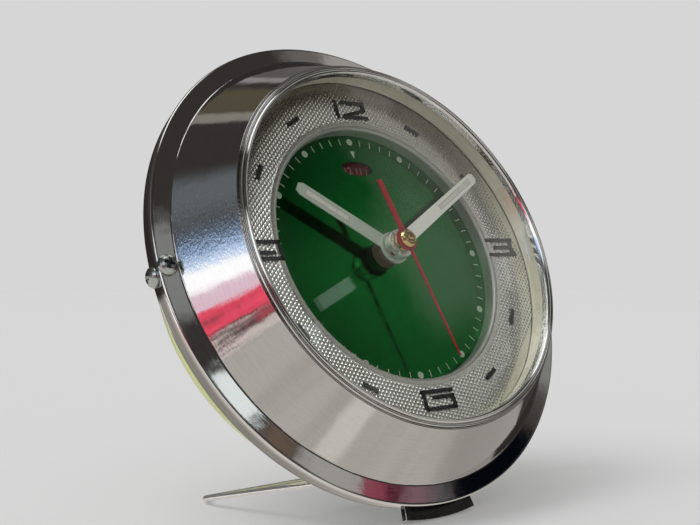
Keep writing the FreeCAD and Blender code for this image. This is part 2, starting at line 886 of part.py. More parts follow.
time_set_phase = mesh_phase(minute_wheel_teeth, minute_phase, minute_at, cannon_teeth, time_set_at)
set_arbor_end = knob_z - knob_thick + 1
time_set_arbor = joined(
    tube(set_arbor_r, 0, set_arbor_end, cannon_teeth_high, time_set_at),
    moved(slab(gear_points(cannon_teeth, minute_module, time_set_phase), cannon_teeth_low,
               cannon_teeth_high), time_set_at))
keep("time_set_arbor", time_set_arbor)

# Alarm disc, its wheel and the alarm setting arbor
alarm_high = alarm_low + wheel_thick
alarm_disc_high = alarm_disc_low + alarm_disc_thick
alarm_phase = 0.0
alarm_wheel = joined(
    tube(alarm_bush_r + 1.2, 0, alarm_low, alarm_disc_low),
    tube(alarm_bush_r, 0, alarm_low, alarm_disc_high),
    spoked_gear(alarm_wheel_teeth, alarm_module, alarm_phase, alarm_bush_r - 0.2, alarm_low, alarm_high),
).cut(tube(hour_pipe_r + running, 0, alarm_low, alarm_disc_high))
keep("alarm_wheel", alarm_wheel)
keep("alarm_disc", tube(alarm_disc_r, alarm_bush_r, alarm_disc_low, alarm_disc_high))

alarm_set_phase = mesh_phase(alarm_wheel_teeth, alarm_phase, ORIGIN, alarm_pinion_teeth, alarm_set_at)
alarm_set_arbor = joined(
    tube(set_arbor_r, 0, set_arbor_end, alarm_high + 0.1, alarm_set_at),
    moved(slab(gear_points(alarm_pinion_teeth, alarm_module, alarm_set_phase), alarm_low - 0.1,
               alarm_high + 0.1), alarm_set_at))
keep("alarm_set_arbor", alarm_set_arbor)

# Movement plates, pillars, nuts and fixing screws
pivot_holes = [(at, pivot_r + running) for at in (third_at, escape_at, pallet_at, balance_at,
                                                  alarm_escape_at, hammer_at)]
setting_holes = [(at, set_arbor_r + running) for at in (time_set_at, alarm_set_at)]
thread_holes = [(at, thread_r) for at in pillar_spots]
spigot_holes = [(at, dial_spigot_r) for at in foot_spots]
front_holes = [
    (ORIGIN, centre_arbor_r + running),
    (time_at, winding_pivot_r + running),
    (alarm_at, winding_pivot_r + running),
]
front_holes = front_holes + pivot_holes + setting_holes + thread_holes + spigot_holes
front_plate = tube(plate_r, 0, front_plate_back, front_plate_z)
front_plate = drilled(front_plate, front_holes, front_plate_back, front_plate_z)
minute_stud = joined(tube(stud_r, 0, front_plate_z, minute_pinion_top, minute_at),
                     tube(2 * stud_r, 0, front_plate_z, minute_low - 0.2, minute_at))
keep("front_plate", joined(front_plate, minute_stud))

back_holes = [
    (ORIGIN, pivot_r + running),
    (time_at, winding_neck_r + running),
    (alarm_at, winding_neck_r + running),
    (button_at, button_stem_r + running),
]
back_holes = back_holes + pivot_holes + setting_holes + thread_holes
regulator_high = back_plate_back - 0.1
regulator_low = regulator_high - regulator_thick
boss_end = regulator_low - end_gap
hairspring_high = hairspring_low + hairspring_tall
stud_reach = hairspring_r + hairspring_width + hairspring_stud_r + running
back_plate = joined(
    tube(plate_r, 0, back_plate_back, back_plate_z),
    tube(regulator_boss_r, 0, boss_end, back_plate_back, balance_at),
    tube(hairspring_stud_r, 0, back_plate_z, hairspring_high, balance_at - X_AXIS * stud_reach))
back_plate = drilled(back_plate, back_holes, boss_end, back_plate_z)
for spot in (time_click_at, alarm_click_at):
    back_plate = back_plate.fuse(tube(click_pivot_r, 0, ratchet_z - end_gap, back_plate_back, spot))
keep("back_plate", back_plate.removeSplitter())

tail_end = back_plate_back - thread_share
keep("plate_pillars", *[joined(
    tube(pillar_r, 0, back_plate_z, front_plate_back, p),
    tube(thread_r, 0, front_plate_back, front_plate_z, p),
    tube(thread_r, 0, tail_end, back_plate_z, p)) for p in pillar_spots])

# Long nuts hold the back plate and stand it off the case, which screws to them
nut_points = [(polar(nut_r, a).x, polar(nut_r, a).y) for a in range(0, 360, 60)]
nut = slab(nut_points, case_back_z, back_plate_back).cut(tube(thread_r, 0, case_back_z, back_plate_back))
keep("pillar_nuts", *[moved(nut, p) for p in pillar_spots])
fixing_screw = pan_screw(movement_head_r, movement_head_h, thread_r, sheet + thread_share)
keep("movement_screws", *[seated(fixing_screw, Vec(p.x, p.y, case_back_outer), Z_AXIS * -1)
                          for p in pillar_spots])


# Going train
def staff(at, low, high, radius):
    """An arbor between the plates with a thin pivot in each plate."""
    return joined(tube(radius, 0, low, high, at),
                  tube(pivot_r, 0, back_plate_back, low, at),
                  tube(pivot_r, 0, high, front_plate_z, at))


def pinion(teeth, module, phase, wheel_low, wheel_high, at=ORIGIN):
    """Solid pinion that stands over both faces of the wheel it meshes with."""
    return moved(slab(gear_points(teeth, module, phase), wheel_low - pinion_over,
                      wheel_high + pinion_over), at)


between_low = back_plate_z + end_gap
between_high = front_plate_back - end_gap
great_high = great_low + great_thick
centre_wheel_high = centre_wheel_low + wheel_thick
centre_low = great_low - pinion_over - 0.2
centre_top = cannon_top - 1.6
third_high = third_low + wheel_thick
seconds_high = seconds_low + wheel_thick
escape_high = escape_low + wheel_thick

time_great_phase = 0.0
centre_pinion_phase = mesh_phase(time_great_teeth, time_great_phase, time_at, centre_pinion_teeth, ORIGIN)
centre_arbor = joined(
    tube(centre_arbor_r, 0, centre_low, centre_top),
    tube(centre_shoulder_r, 0, great_high, centre_wheel_high),
    pinion(centre_pinion_teeth, great_module, centre_pinion_phase, great_low, great_high),
).cut(tube(seconds_arbor_r + running, 0, centre_low, centre_top))
keep("centre_arbor", centre_arbor)
centre_wheel_phase = 0.0
keep("centre_wheel", spoked_gear(centre_wheel_teeth, minute_module, centre_wheel_phase,
                                 centre_shoulder_r, centre_wheel_low, centre_wheel_high))

third_pinion_phase = mesh_phase(centre_wheel_teeth, centre_wheel_phase, ORIGIN, pinion_leaves, third_at)
third_arbor = joined(
    staff(third_at, between_low, between_high, arbor_r),
    pinion(pinion_leaves, minute_module, third_pinion_phase, centre_wheel_low, between_high - pinion_over,
           third_at))
keep("third_arbor", third_arbor)
third_wheel_phase = 0.0
keep("third_wheel", spoked_gear(third_wheel_teeth, third_module, third_wheel_phase, arbor_r, third_low,
                                third_high, third_at))

seconds_pinion_phase = mesh_phase(third_wheel_teeth, third_wheel_phase, third_at, pinion_leaves, ORIGIN)
seconds_arbor = joined(
    tube(seconds_arbor_r, 0, between_low, seconds_arbor_top),
    tube(pivot_r, 0, back_plate_back, between_low),
    pinion(pinion_leaves, third_module, seconds_pinion_phase, third_low, third_high))
keep("seconds_arbor", seconds_arbor)
seconds_wheel_phase = 0.0
keep("seconds_wheel", spoked_gear(seconds_wheel_teeth, seconds_module, seconds_wheel_phase,
                                  seconds_arbor_r, seconds_low, seconds_high))

escape_pinion_phase = mesh_phase(seconds_wheel_teeth, seconds_wheel_phase, ORIGIN, pinion_leaves,
                                 escape_at)
escape_arbor = joined(
    staff(escape_at, between_low, between_high, escape_arbor_r),
    pinion(pinion_leaves, seconds_module, escape_pinion_phase, seconds_low, seconds_high, escape_at))
keep("escape_arbor", escape_arbor)


def hooked_wheel(teeth, tip_r, tooth, lean_share, bore, low, high, at):
    """A crossed-out wheel with pointed teeth that lean one way."""
    step = 360 / teeth
    root_r = tip_r - tooth
    arm_w = 1.2
    points = []
    for i in range(teeth):
        for radius, share in ((root_r, 0.0), (tip_r, lean_share), (tip_r, lean_share + 0.1), (root_r, 0.55)):
            spot = polar(radius, (i + share) * step)
            points.append((spot.x, spot.y))
    web = tube(root_r - 1.0, bore + arm_w, low, high)
    arm = Part.makeBox(2 * root_r, arm_w, high - low, Vec(-root_r, -arm_w / 2, low))
    web = web.cut(arm).cut(turned_by(arm, 90))
    body = slab(points, low, high).cut(web).cut(tube(bore, 0, low, high))
    return moved(body, at)


keep("escape_wheel", hooked_wheel(escape_teeth, escape_r, escape_tooth, 0.2, escape_arbor_r,
                                  escape_low, escape_high, escape_at))

# Pin-pallet fork: the pins stop short of the escape wheel
fork_low = escape_high + fork_gap
fork_high = fork_low + fork_thick
lever_length = pallet_to_balance - impulse_r + 0.7
fork = slab([(-3.5, -4.5), (-2.4, -4.5), (-0.8, -1.2), (lever_length - 1.6, -0.6), (lever_length, -1.5),
             (lever_length, -0.7), (lever_length - 1.2, -0.35), (lever_length - 1.2, 0.35),
             (lever_length, 0.7), (lever_length, 1.5), (lever_length - 1.6, 0.6), (-0.8, 1.2),
             (-2.4, 4.5), (-3.5, 4.5), (-2.0, 0)], fork_low, fork_high)
for side in (-1, 1):
    pin_at = Vec(pallet_pin_x, side * pallet_pin_y, 0)
    fork = fork.fuse(tube(pallet_pin_r, 0, escape_high + pin_gap, fork_low, pin_at))
fork = moved(turned_by(fork.removeSplitter(), escape_dir), pallet_at)
keep("pallet_fork", joined(fork, staff(pallet_at, between_low, between_high, fine_arbor_r)))

# Balance with its roller, impulse pin and hairspring
roller_low = escape_low - 0.5
roller_high = roller_low + roller_thick
roller = tube(roller_r, 0, roller_low, roller_high, balance_at)
impulse_at = balance_at + polar(impulse_r, escape_dir + 180)
impulse_pin = tube(impulse_pin_r, 0, roller_high, fork_low - free_gap, impulse_at)
collet = tube(collet_r, 0, hairspring_low, hairspring_high, balance_at)
keep("balance_staff", joined(staff(balance_at, between_low, between_high, arbor_r), roller, impulse_pin,
                             collet))
balance_low = seconds_low
balance_high = balance_low + balance_thick
balance_rim_r = balance_r - balance_rim
bar_half = balance_rim_r + balance_rim / 3
rim = tube(balance_r, balance_rim_r, balance_low, balance_high)
bar = Part.makeBox(2 * bar_half, balance_bar_w, wheel_thick,
                   Vec(-bar_half, -balance_bar_w / 2, balance_low + 0.2))
balance = joined(rim, bar, tube(arbor_r + 1.0, 0, balance_low, balance_high))
balance = balance.cut(tube(arbor_r, 0, balance_low, balance_high))
keep("balance_wheel", moved(turned_by(balance, escape_dir), balance_at))
keep("hairspring", spiral(collet_r + 2 * running, hairspring_r, hairspring_turns, hairspring_width,
                          hairspring_low, hairspring_high, balance_at))

regulator_body = joined(
    tube(regulator_boss_r + regulator_ring, 0, regulator_low, regulator_high),
    Part.makeBox(regulator_r - regulator_boss_r, regulator_w, regulator_thick,
                 Vec(regulator_boss_r, -regulator_w / 2, regulator_low)),
    Part.makeBox(regulator_tab, regulator_w, regulator_high - regulator_end_z,
                 Vec(regulator_r - regulator_tab / 2, -regulator_w / 2, regulator_end_z)),
).cut(tube(regulator_boss_r + running, 0, regulator_low, regulator_high))
keep("regulator_lever", moved(turned_by(regulator_body, regulator_dir), balance_at))


# Spring arbors, great wheels, springs, ratchets and clicks
def winding_arbor(at):
    """Arbor that carries the great wheel, the spring, the ratchet and the key."""
    return joined(
        tube(winding_arbor_r, 0, between_low, between_high, at),
        tube(winding_pivot_r, 0, between_high, front_plate_z, at),
        tube(winding_neck_r, 0, ratchet_z - free_gap, between_low, at),
        tube(key_stem_r, 0, key_hub_z - key_hub_h, ratchet_z - free_gap, at))


keep("time_winding_arbor", winding_arbor(time_at))
keep("alarm_winding_arbor", winding_arbor(alarm_at))
great_bore = winding_arbor_r + running
keep("time_great_wheel", spoked_gear(time_great_teeth, great_module, time_great_phase, great_bore,
                                     great_low, great_high, time_at))
alarm_great_phase = 0.0
keep("alarm_great_wheel", spoked_gear(alarm_great_teeth, great_module, alarm_great_phase, great_bore,
                                      great_low, great_high, alarm_at))
spring_low = spring_high - spring_tall
spring_inner_r = winding_arbor_r + free_gap
keep("time_mainspring", spiral(spring_inner_r, time_spring_r, time_spring_turns, spring_strip,
                               spring_low, spring_high, time_at))
keep("alarm_mainspring", spiral(spring_inner_r, alarm_spring_r, alarm_spring_turns, spring_strip,
                                spring_low, spring_high, alarm_at))


def ratchet(at, way):
    """Ratchet wheel; way is 1 or -1 for the side its teeth lean to."""
    step = 360 / ratchet_teeth
    points = []
    for i in range(ratchet_teeth):
        for radius, share in ((ratchet_r - ratchet_tooth, 0.05), (ratchet_r, 0.0)):
            spot = polar(radius, way * (i + share) * step)
            points.append((spot.x, spot.y))
    body = slab(points, ratchet_z, ratchet_z + ratchet_thick)
    return moved(body.cut(tube(winding_neck_r, 0, ratchet_z, ratchet_z + ratchet_thick)), at)


keep("time_ratchet_wheel", ratchet(time_at, 1))
keep("alarm_ratchet_wheel", ratchet(alarm_at, -1))


def click(pivot, wheel_at, way):
    """Click whose nose stands just clear of the ratchet's tips."""
    toward = math.degrees(math.atan2(wheel_at.y - pivot.y, wheel_at.x - pivot.x))
    nose = click_reach - ratchet_r - click_gap
    high = ratchet_z + ratchet_thick
    body = joined(
        tube(click_r, 0, ratchet_z, high),
        slab([(-1.0, way * -1.6), (nose, way * -1.0), (nose, way * -0.2), (0.5, way * 1.8)],
             ratchet_z, high),
    ).cut(tube(click_pivot_r + running, 0, ratchet_z, high))
    return moved(turned_by(body, toward), pivot)


keep("time_click", click(time_click_at, time_at, 1))
keep("alarm_click", click(alarm_click_at, alarm_at, -1))


def winding_key(at, angle):
    """Wing key: a turned hub with two flat lobes."""
    hub_low = key_hub_z - key_hub_h
    hub = turned([
        (key_stem_r, key_hub_z),
        (key_hub_r, key_hub_z),
        (key_hub_r, hub_low + 1.2),
        (key_hub_r - 0.8, hub_low),
        (key_stem_r, hub_low),
    ])
    lobe_r = key_wing_h / 2
    lobe_x = key_wing_w / 2 - lobe_r
    lobe_z = key_hub_z - key_hub_h / 2 - lobe_r - key_wing_drop
    half_thick = key_wing_thick / 2
    wings = Part.makeBox(2 * lobe_x, key_wing_thick, key_wing_h - key_web_trim,
                         Vec(-lobe_x, -half_thick, lobe_z - lobe_r + key_web_inset))
    for side in (-1, 1):
        middle = Vec(side * lobe_x, -half_thick, lobe_z)
        lobe = Part.makeCylinder(lobe_r, key_wing_thick, middle, Y_AXIS)
        eye = Part.makeCylinder(key_eye_r, key_wing_thick, middle, Y_AXIS)
        wings = wings.fuse(lobe).cut(eye)
    wings = wings.removeSplitter().cut(tube(key_stem_r, 0, hub_low, key_hub_z))
    return moved(turned_by(joined(hub, wings), angle), at)


keep("time_winding_key", winding_key(time_at, time_key_dir))
keep("alarm_winding_key", winding_key(alarm_at, alarm_key_dir))


def setting_knob(at):
    """Ribbed knob pressed on a setting arbor."""
    step = 360 / knob_ribs
    points = []
    for i in range(knob_ribs):
        for radius, share in ((knob_r - knob_rib, 0.0), (knob_r, 0.3), (knob_r, 0.7)):
            spot = polar(radius, (i + share) * step)
            points.append((spot.x, spot.y))
    boss_high = knob_z + 0.8
    body = joined(slab(points, knob_z - knob_thick, knob_z), tube(knob_boss_r, 0, knob_z, boss_high))
    return moved(body.cut(tube(set_arbor_r, 0, set_arbor_end, boss_high)), at)


keep("time_set_knob", setting_knob(time_set_at))
keep("alarm_set_knob", setting_knob(alarm_set_at))

# Alarm train: escape wheel and hammer
alarm_pinion_phase = mesh_phase(alarm_great_teeth, alarm_great_phase, alarm_at, pinion_leaves,
                                alarm_escape_at)
alarm_escape_arbor = joined(
    staff(alarm_escape_at, between_low, between_high, arbor_r),
    pinion(pinion_leaves, great_module, alarm_pinion_phase, great_low, great_high, alarm_escape_at))
alarm_escape_wheel = hooked_wheel(alarm_escape_teeth, alarm_escape_r, alarm_escape_tooth, 0.25, arbor_r,
                                  seconds_low, seconds_high, alarm_escape_at)
keep("alarm_escape_wheel", joined(alarm_escape_arbor, alarm_escape_wheel))

hammer_arm_low = back_plate_z + 0.7
hammer_head_low = hammer_arm_low - 1.5
arm_line = hammer_head_at - hammer_at
arm_dir = math.degrees(math.atan2(arm_line.y, arm_line.x))
arm = Part.makeBox(arm_line.Length, hammer_arm_w, hammer_arm_thick, Vec(0, -hammer_arm_w / 2, hammer_arm_low))
verge_low = seconds_high + pin_gap
verge = slab([(0, -verge_reach), (hammer_arm_w, -verge_reach), (1.0, 0), (hammer_arm_w, verge_reach),
              (0, verge_reach), (-1.0, 0)], verge_low, verge_low + hammer_arm_thick)
hammer = joined(
    staff(hammer_at, between_low, between_high, arbor_r),
    moved(turned_by(arm, arm_dir), hammer_at),
    moved(verge, hammer_at),
    tube(hammer_head_r, 0, hammer_head_low, hammer_head_low + hammer_head_tall, hammer_head_at))
keep("alarm_hammer", hammer)

# Stop button: a push rod through the back plate and the case
cap_high = case_back_outer - button_out
collar_high = back_plate_back - button_travel - 0.1
stop_button = joined(
    tube(button_stem_r, 0, cap_high, back_plate_z + button_in, button_at),
    tube(button_collar_r, 0, collar_high - button_collar_h, collar_high, button_at),
    tube(button_cap_r, 0, cap_high - button_cap_h, cap_high, button_at))
keep("alarm_stop_button", stop_button)

# Painted rear case with its outward flange and the openings in its back
wall_in = case_r - sheet
flange_back = case_flange_z - sheet
corner_in = case_corner - sheet
corner_share = 1 - math.sqrt(0.5)
case = turned([
    (0, case_back_outer),
    (case_r - case_corner, case_back_outer),
    (case_r - case_corner * corner_share, case_back_outer + case_corner * corner_share),
    (case_r, case_back_outer + case_corner),
    (case_r, flange_back),
    (case_flange_r, flange_back),
    (case_flange_r, case_flange_z),
    (wall_in, case_flange_z),
    (wall_in, case_back_z + corner_in),
    (wall_in - corner_in * corner_share, case_back_z + corner_in * corner_share),
    (wall_in - corner_in, case_back_z),
    (0, case_back_z),
])
case_holes = [
    (time_at, key_stem_r + case_hole_gap),
    (alarm_at, key_stem_r + case_hole_gap),
    (time_set_at, set_arbor_r + case_hole_gap),
    (alarm_set_at, set_arbor_r + case_hole_gap),
    (button_at, button_stem_r + free_gap),
]
case = drilled(case, case_holes + thread_holes, case_back_outer, case_back_z)

# Curved slot through which the regulator's tab reaches out
slot_half_w = regulator_tab / 2 + case_hole_gap
slot_half_turn = regulator_swing + 8
slot = tube(regulator_r + slot_half_w, regulator_r - slot_half_w, case_back_outer, case_back_z)
wedge_points = [(0, 0)]
for share in (-1, -0.5, 0, 0.5, 1):
    spot = polar(2 * regulator_r, share * slot_half_turn)
    wedge_points.append((spot.x, spot.y))
slot = slot.common(slab(wedge_points, case_back_outer, case_back_z))
case = case.cut(moved(turned_by(slot, regulator_dir), balance_at))
keep("rear_case", case)

# Rim fixing blocks between the shell's flange and the case's flange
block_points = [
    (block_inner_r, case_flange_z),
    (block_outer_r, case_flange_z),
    (block_outer_r, flange_under(block_outer_r)),
    (block_inner_r, flange_under(block_inner_r)),
]
block_wire = Part.makePolygon([Vec(r, 0, z) for r, z in block_points + block_points[:1]])
block = Part.Face(block_wire).revolve(ORIGIN, Z_AXIS, 2 * block_half_angle)
block = turned_by(block, -block_half_angle).cut(flange_hole).cut(side_hole)
keep("rim_blocks", *rim_pair(block))
keep("rim_screws", *(rim_pair(flange_screw) + rim_pair(side_screw)))

# Front foot: a plate welded under the skirt
foot_points = [
    (skirt_outside(foot_front_z), foot_front_z),
    (foot_r, foot_front_z),
    (foot_r, foot_rear_z),
    (skirt_outside(foot_rear_z), foot_rear_z),
]
foot_wire = Part.makePolygon([Vec(r, 0, z) for r, z in foot_points + foot_points[:1]])
foot = Part.Face(foot_wire).revolve(ORIGIN, Z_AXIS, 2 * foot_half_angle)
table_top = Part.makeBox(4 * foot_r, 4 * foot_r, foot_r, Vec(-2 * foot_r, -2 * foot_r, -foot_r))
foot = turned_by(foot, -90 - foot_half_angle)
nodes["front_foot"] = [to_table(foot).cut(table_top)]

# Wire stand: a flared loop that hinges on two brackets behind the case flange
pivot_y = -math.sqrt(stand_pivot_r ** 2 - stand_pivot_x ** 2)
pivot_back = lean_sin * pivot_y - lean_cos * stand_pivot_z
pivot_height = lean_cos * pivot_y + lean_sin * stand_pivot_z + table_drop
reach = stand_reach_y - pivot_back
drop = pivot_height - wire_r
stand_length = math.hypot(reach, drop)
stand_fall = math.degrees(math.atan2(drop, reach))


def bent_wire(points, radius, bend):
    """A round wire through points in the z = 0 plane, with rounded corners."""
    edges = []
    start = points[0]
    for i in range(1, len(points) - 1):
        before = (points[i] - points[i - 1]).normalize()
        after = (points[i + 1] - points[i]).normalize()
        turn = before.getAngle(after)
        back = bend[i - 1] * math.tan(turn / 2)
        enter = points[i] - before * back
        leave = points[i] + after * back
        inward = (after - before).normalize()
        middle = points[i] + inward * (bend[i - 1] / math.cos(turn / 2) - bend[i - 1])
        edges.append(Part.makeLine(start, enter))
        edges.append(Part.Arc(enter, middle, leave).toShape())
        start = leave
    edges.append(Part.makeLine(start, points[-1]))
    path = Part.Wire(edges)
    ring = Part.Wire(Part.makeCircle(radius, points[0], (points[1] - points[0]).normalize()))
    return path.makePipeShell([ring], True, False)


pin_inner = stand_pivot_x - stand_pin
stand_points = [
    Vec(-pin_inner, 0, 0),
    Vec(-stand_pivot_x, 0, 0),
    Vec(-stand_half_w, stand_length, 0),
    Vec(stand_half_w, stand_length, 0),
    Vec(stand_pivot_x, 0, 0),
    Vec(pin_inner, 0, 0),
]
stand_flat = bent_wire(stand_points, wire_r, (hinge_bend, stand_bend, stand_bend, hinge_bend))

# The loop lies in a plane that falls from the hinge to the table, so it is
# first turned into the clock's own leaning frame.
clock_fall = -(stand_fall + 90 - lean)


def to_hinge(shape):
    """Turn a piece drawn about the hinge line into place."""
    copy = shape.copy()
    copy.rotate(ORIGIN, X_AXIS, clock_fall)
    copy.translate(Vec(0, pivot_y, stand_pivot_z))
    return copy


keep("wire_stand", to_hinge(stand_flat))

# Stand brackets: an ear for the wire and a tongue that stops the stand
ear_low = stand_pivot_z - ear_below
tongue_box = Part.makeBox(tongue_w, tongue_length, tongue_thick,
                          Vec(0, tongue_start, wire_r + running))


def bracket(side):
    """Ear with a pad on the case flange and a tongue in the wire's way."""
    inner_x = stand_pivot_x - ear_inset - ear_thick / 2
    ear = Part.makeBox(ear_thick, ear_w, flange_back - ear_low, Vec(inner_x, pivot_y - ear_w / 2, ear_low))
    pad = Part.makeBox(ear_w, ear_w, ear_thick,
                       Vec(inner_x + ear_thick - ear_w, pivot_y - ear_w / 2, flange_back - ear_thick))
    pin_hole = Part.makeCylinder(wire_r + running, ear_thick, Vec(inner_x, pivot_y, stand_pivot_z), X_AXIS)
    tongue = to_hinge(moved(tongue_box, X_AXIS * inner_x))
    whole = joined(joined(ear, pad).cut(pin_hole), tongue)
    return whole if side > 0 else whole.mirror(ORIGIN, X_AXIS)


keep("stand_brackets", bracket(-1), bracket(1))

write_nodes()
print("table drop", round(table_drop, 3), "stand length", round(stand_length, 3))
print("hinge at y", round(pivot_back, 3), "z", round(pivot_height, 3), "fall", round(stand_fall, 3))
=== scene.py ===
# %% [markdown]
# # A spring-wound alarm clock, dressed for its picture
#
# The clock leans back on a small foot and a wire stand. Its solid parts come
# from a CAD model that is loaded as a fixed frame. This lesson gives every
# part its finish, and models again the parts that a close look would judge:
# the chromed shell, the bezel, the glass, the knurled ring, the dial and the
# hands. Each cell makes one thing and prints what it made.

# %% Load the frame
import bpy
import bmesh
import json
import math
from mathutils import Matrix, Vector


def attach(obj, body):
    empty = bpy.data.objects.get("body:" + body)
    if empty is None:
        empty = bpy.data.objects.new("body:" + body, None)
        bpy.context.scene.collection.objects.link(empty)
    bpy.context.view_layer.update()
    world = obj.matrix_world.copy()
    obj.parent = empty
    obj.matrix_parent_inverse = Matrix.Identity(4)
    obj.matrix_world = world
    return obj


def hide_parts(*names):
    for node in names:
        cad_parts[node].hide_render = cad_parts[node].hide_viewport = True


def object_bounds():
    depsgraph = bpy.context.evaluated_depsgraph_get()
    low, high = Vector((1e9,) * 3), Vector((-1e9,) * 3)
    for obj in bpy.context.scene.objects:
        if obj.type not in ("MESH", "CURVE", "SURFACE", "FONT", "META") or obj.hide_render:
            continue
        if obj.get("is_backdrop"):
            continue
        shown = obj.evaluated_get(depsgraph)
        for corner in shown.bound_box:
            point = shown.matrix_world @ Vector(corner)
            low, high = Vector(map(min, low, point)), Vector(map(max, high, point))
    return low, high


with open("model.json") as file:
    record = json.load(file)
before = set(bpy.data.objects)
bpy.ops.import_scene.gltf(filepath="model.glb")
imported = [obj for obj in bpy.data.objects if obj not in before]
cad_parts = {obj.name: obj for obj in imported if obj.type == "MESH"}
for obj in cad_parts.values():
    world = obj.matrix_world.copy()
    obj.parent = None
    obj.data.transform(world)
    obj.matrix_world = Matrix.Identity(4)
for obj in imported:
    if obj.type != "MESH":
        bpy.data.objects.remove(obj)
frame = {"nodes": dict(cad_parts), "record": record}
cad_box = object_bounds()

# %% [markdown]
# ## Where the clock stands
#
# The dial leans back by 25 degrees. It is far easier to model each ring and
# hand flat, with x towards three o'clock, y towards twelve and z out of the
# dial, all in millimetres, and to apply one matrix at the end. The matrix goes
# into the mesh, so that every finished object stays at the origin.

# %% Place of the clock
lean = 25.0
dial_back = -8.940476e-3
dial_height = 62.618e-3
mm = 0.001
turn_back = Matrix.Rotation(math.radians(90 - lean), 4, "X")
on_clock = Matrix.Translation((0, dial_back, dial_height)) @ turn_back @ Matrix.Scale(mm, 4)
print("dial centre at", [round(v, 4) for v in on_clock @ Vector((0, 0, 0))])

# %% [markdown]
# ## The camera
#
# The place and the lens were worked out from the ellipses that the dial, the
# ring, the bezel and the rim make in the photograph. The picture is 700 by
# 525 pixels, and the lens is given for a sensor 36 mm wide.

# %% Camera
camera_data = bpy.data.cameras.new("photo_camera")
camera_data.sensor_width = 36.0
camera_data.lens = 57.619
camera_data.clip_start = 0.01
camera = bpy.data.objects.new("photo_camera", camera_data)
bpy.context.collection.objects.link(camera)
camera.location = (-0.18877956, -0.22101476, 0.06833793)
camera.rotation_euler = [math.radians(a) for a in (88.49854752, -0.00988518, -40.02116200)]
bpy.context.scene.camera = camera
bpy.context.scene.view_settings.view_transform = "Standard"
print("camera at", [round(v, 3) for v in camera.location], "lens", camera_data.lens)

# %% [markdown]
# ## Small helpers for node trees
#
# A material is a graph of nodes. These helpers add a node, set its values by
# name and join sockets, so that each finish below reads as a short list of
# what it is made of. A socket knows its own tree, so only a new node is told.

# %% Node helpers
def add(tree, kind, **values):
    """Adds a shader node, and sets its properties and then its inputs by name."""
    node = tree.nodes.new("ShaderNode" + kind)
    for key, value in values.items():
        if hasattr(node, key):
            setattr(node, key, value)
        else:
            feed(value, node.inputs[key.replace("_", " ")])
    return node


def feed(value, end):
    """Gives an input a socket to read, or a plain value to hold."""
    if isinstance(value, bpy.types.NodeSocket):
        end.id_data.links.new(value, end)
    else:
        end.default_value = value


def maths(operation, first, *others):
    """A Math node for each further value, fed by sockets or plain numbers."""
    for value in others or (None,):
        node = add(first.id_data, "Math", operation=operation)
        feed(first, node.inputs[0])
        if others:
            feed(value, node.inputs[1])
        first = node.outputs[0]
    return first


def times(first, *others):
    return maths("MULTIPLY", first, *others)


def spread(value, low, high, to_low=0.0, to_high=1.0):
    """Maps a value from one range to another, with a smooth start and end."""
    node = add(value.id_data, "MapRange", interpolation_type="SMOOTHSTEP", Value=value,
               From_Min=low, From_Max=high, To_Min=to_low, To_Max=to_high)
    return node.outputs["Result"]


def blend_colours(mask, first, second):
    """Mixes two colours, each a socket or a plain triple, by a mask."""
    node = add(mask.id_data, "Mix", data_type="RGBA")
    feed(mask, node.inputs[0])
    for slot, value in ((6, first), (7, second)):
        feed((*value, 1) if isinstance(value, tuple) else value, node.inputs[slot])
    return node.outputs[2]


def mix_shaders(share, first, second):
    """Mixes the outputs of two shader nodes by a share."""
    node = add(share.id_data, "MixShader")
    for slot, value in enumerate((share, first.outputs[0], second.outputs[0])):
        feed(value, node.inputs[slot])
    return node


def new_group(name, inputs, outputs):
    """An empty shader node group of plain values. Inputs are (name, start value)."""
    group = bpy.data.node_groups.new(name, "ShaderNodeTree")
    for label, start in inputs:
        socket = group.interface.new_socket(label, in_out="INPUT", socket_type="NodeSocketFloat")
        socket.default_value = start
    for label in outputs:
        group.interface.new_socket(label, in_out="OUTPUT", socket_type="NodeSocketFloat")
    return group, group.nodes.new("NodeGroupInput"), group.nodes.new("NodeGroupOutput")


def placed(tree, group, **values):
    """Places a shared group in a tree, with its own values."""
    node = tree.nodes.new("ShaderNodeGroup")
    node.node_tree = group
    for key, value in values.items():
        node.inputs[key].default_value = value
    return node


print("node helpers ready")

# %% [markdown]
# ## Effects that several finishes share
#
# Real metal is never one even tone. Five node groups hold what several
# finishes share: coordinates that lie on the dial, lines that run round it,
# fine grain, specks, and the wear of rubbed edges. The coordinates come
# first: a point of the clock is turned upright, and then told by its distance
# from the axis, its angle and its height above the dial.

# %% Shared effect: coordinates that lie on the dial
lies_flat, _, found = new_group("dial_coordinates", [], ["Radius", "Angle", "Height"])
place = add(lies_flat, "TexCoord").outputs["Object"]
back_to_dial = turn_back.inverted() @ Vector((0, dial_back, dial_height))
unlean = add(lies_flat, "Mapping", vector_type="POINT", Vector=place,
             Rotation=(math.radians(lean - 90), 0, 0), Scale=(1 / mm, 1 / mm, 1 / mm),
             Location=tuple(-v / mm for v in back_to_dial))
x, y, z = add(lies_flat, "SeparateXYZ", Vector=unlean.outputs[0]).outputs
feed(z, found.inputs["Height"])
squares = maths("ADD", times(x, x), times(y, y))
feed(maths("SQRT", squares), found.inputs["Radius"])
feed(maths("ARCTAN2", y, x), found.inputs["Angle"])
print("group", lies_flat.name)

# %% [markdown]
# ## Lines that run round the clock
#
# A sheet that was polished on a spindle keeps faint lines round its axis.
# They could be cut as grooves, but real ones are finer than any mesh. Noise
# that is stretched along the angle gives them in the surface alone.

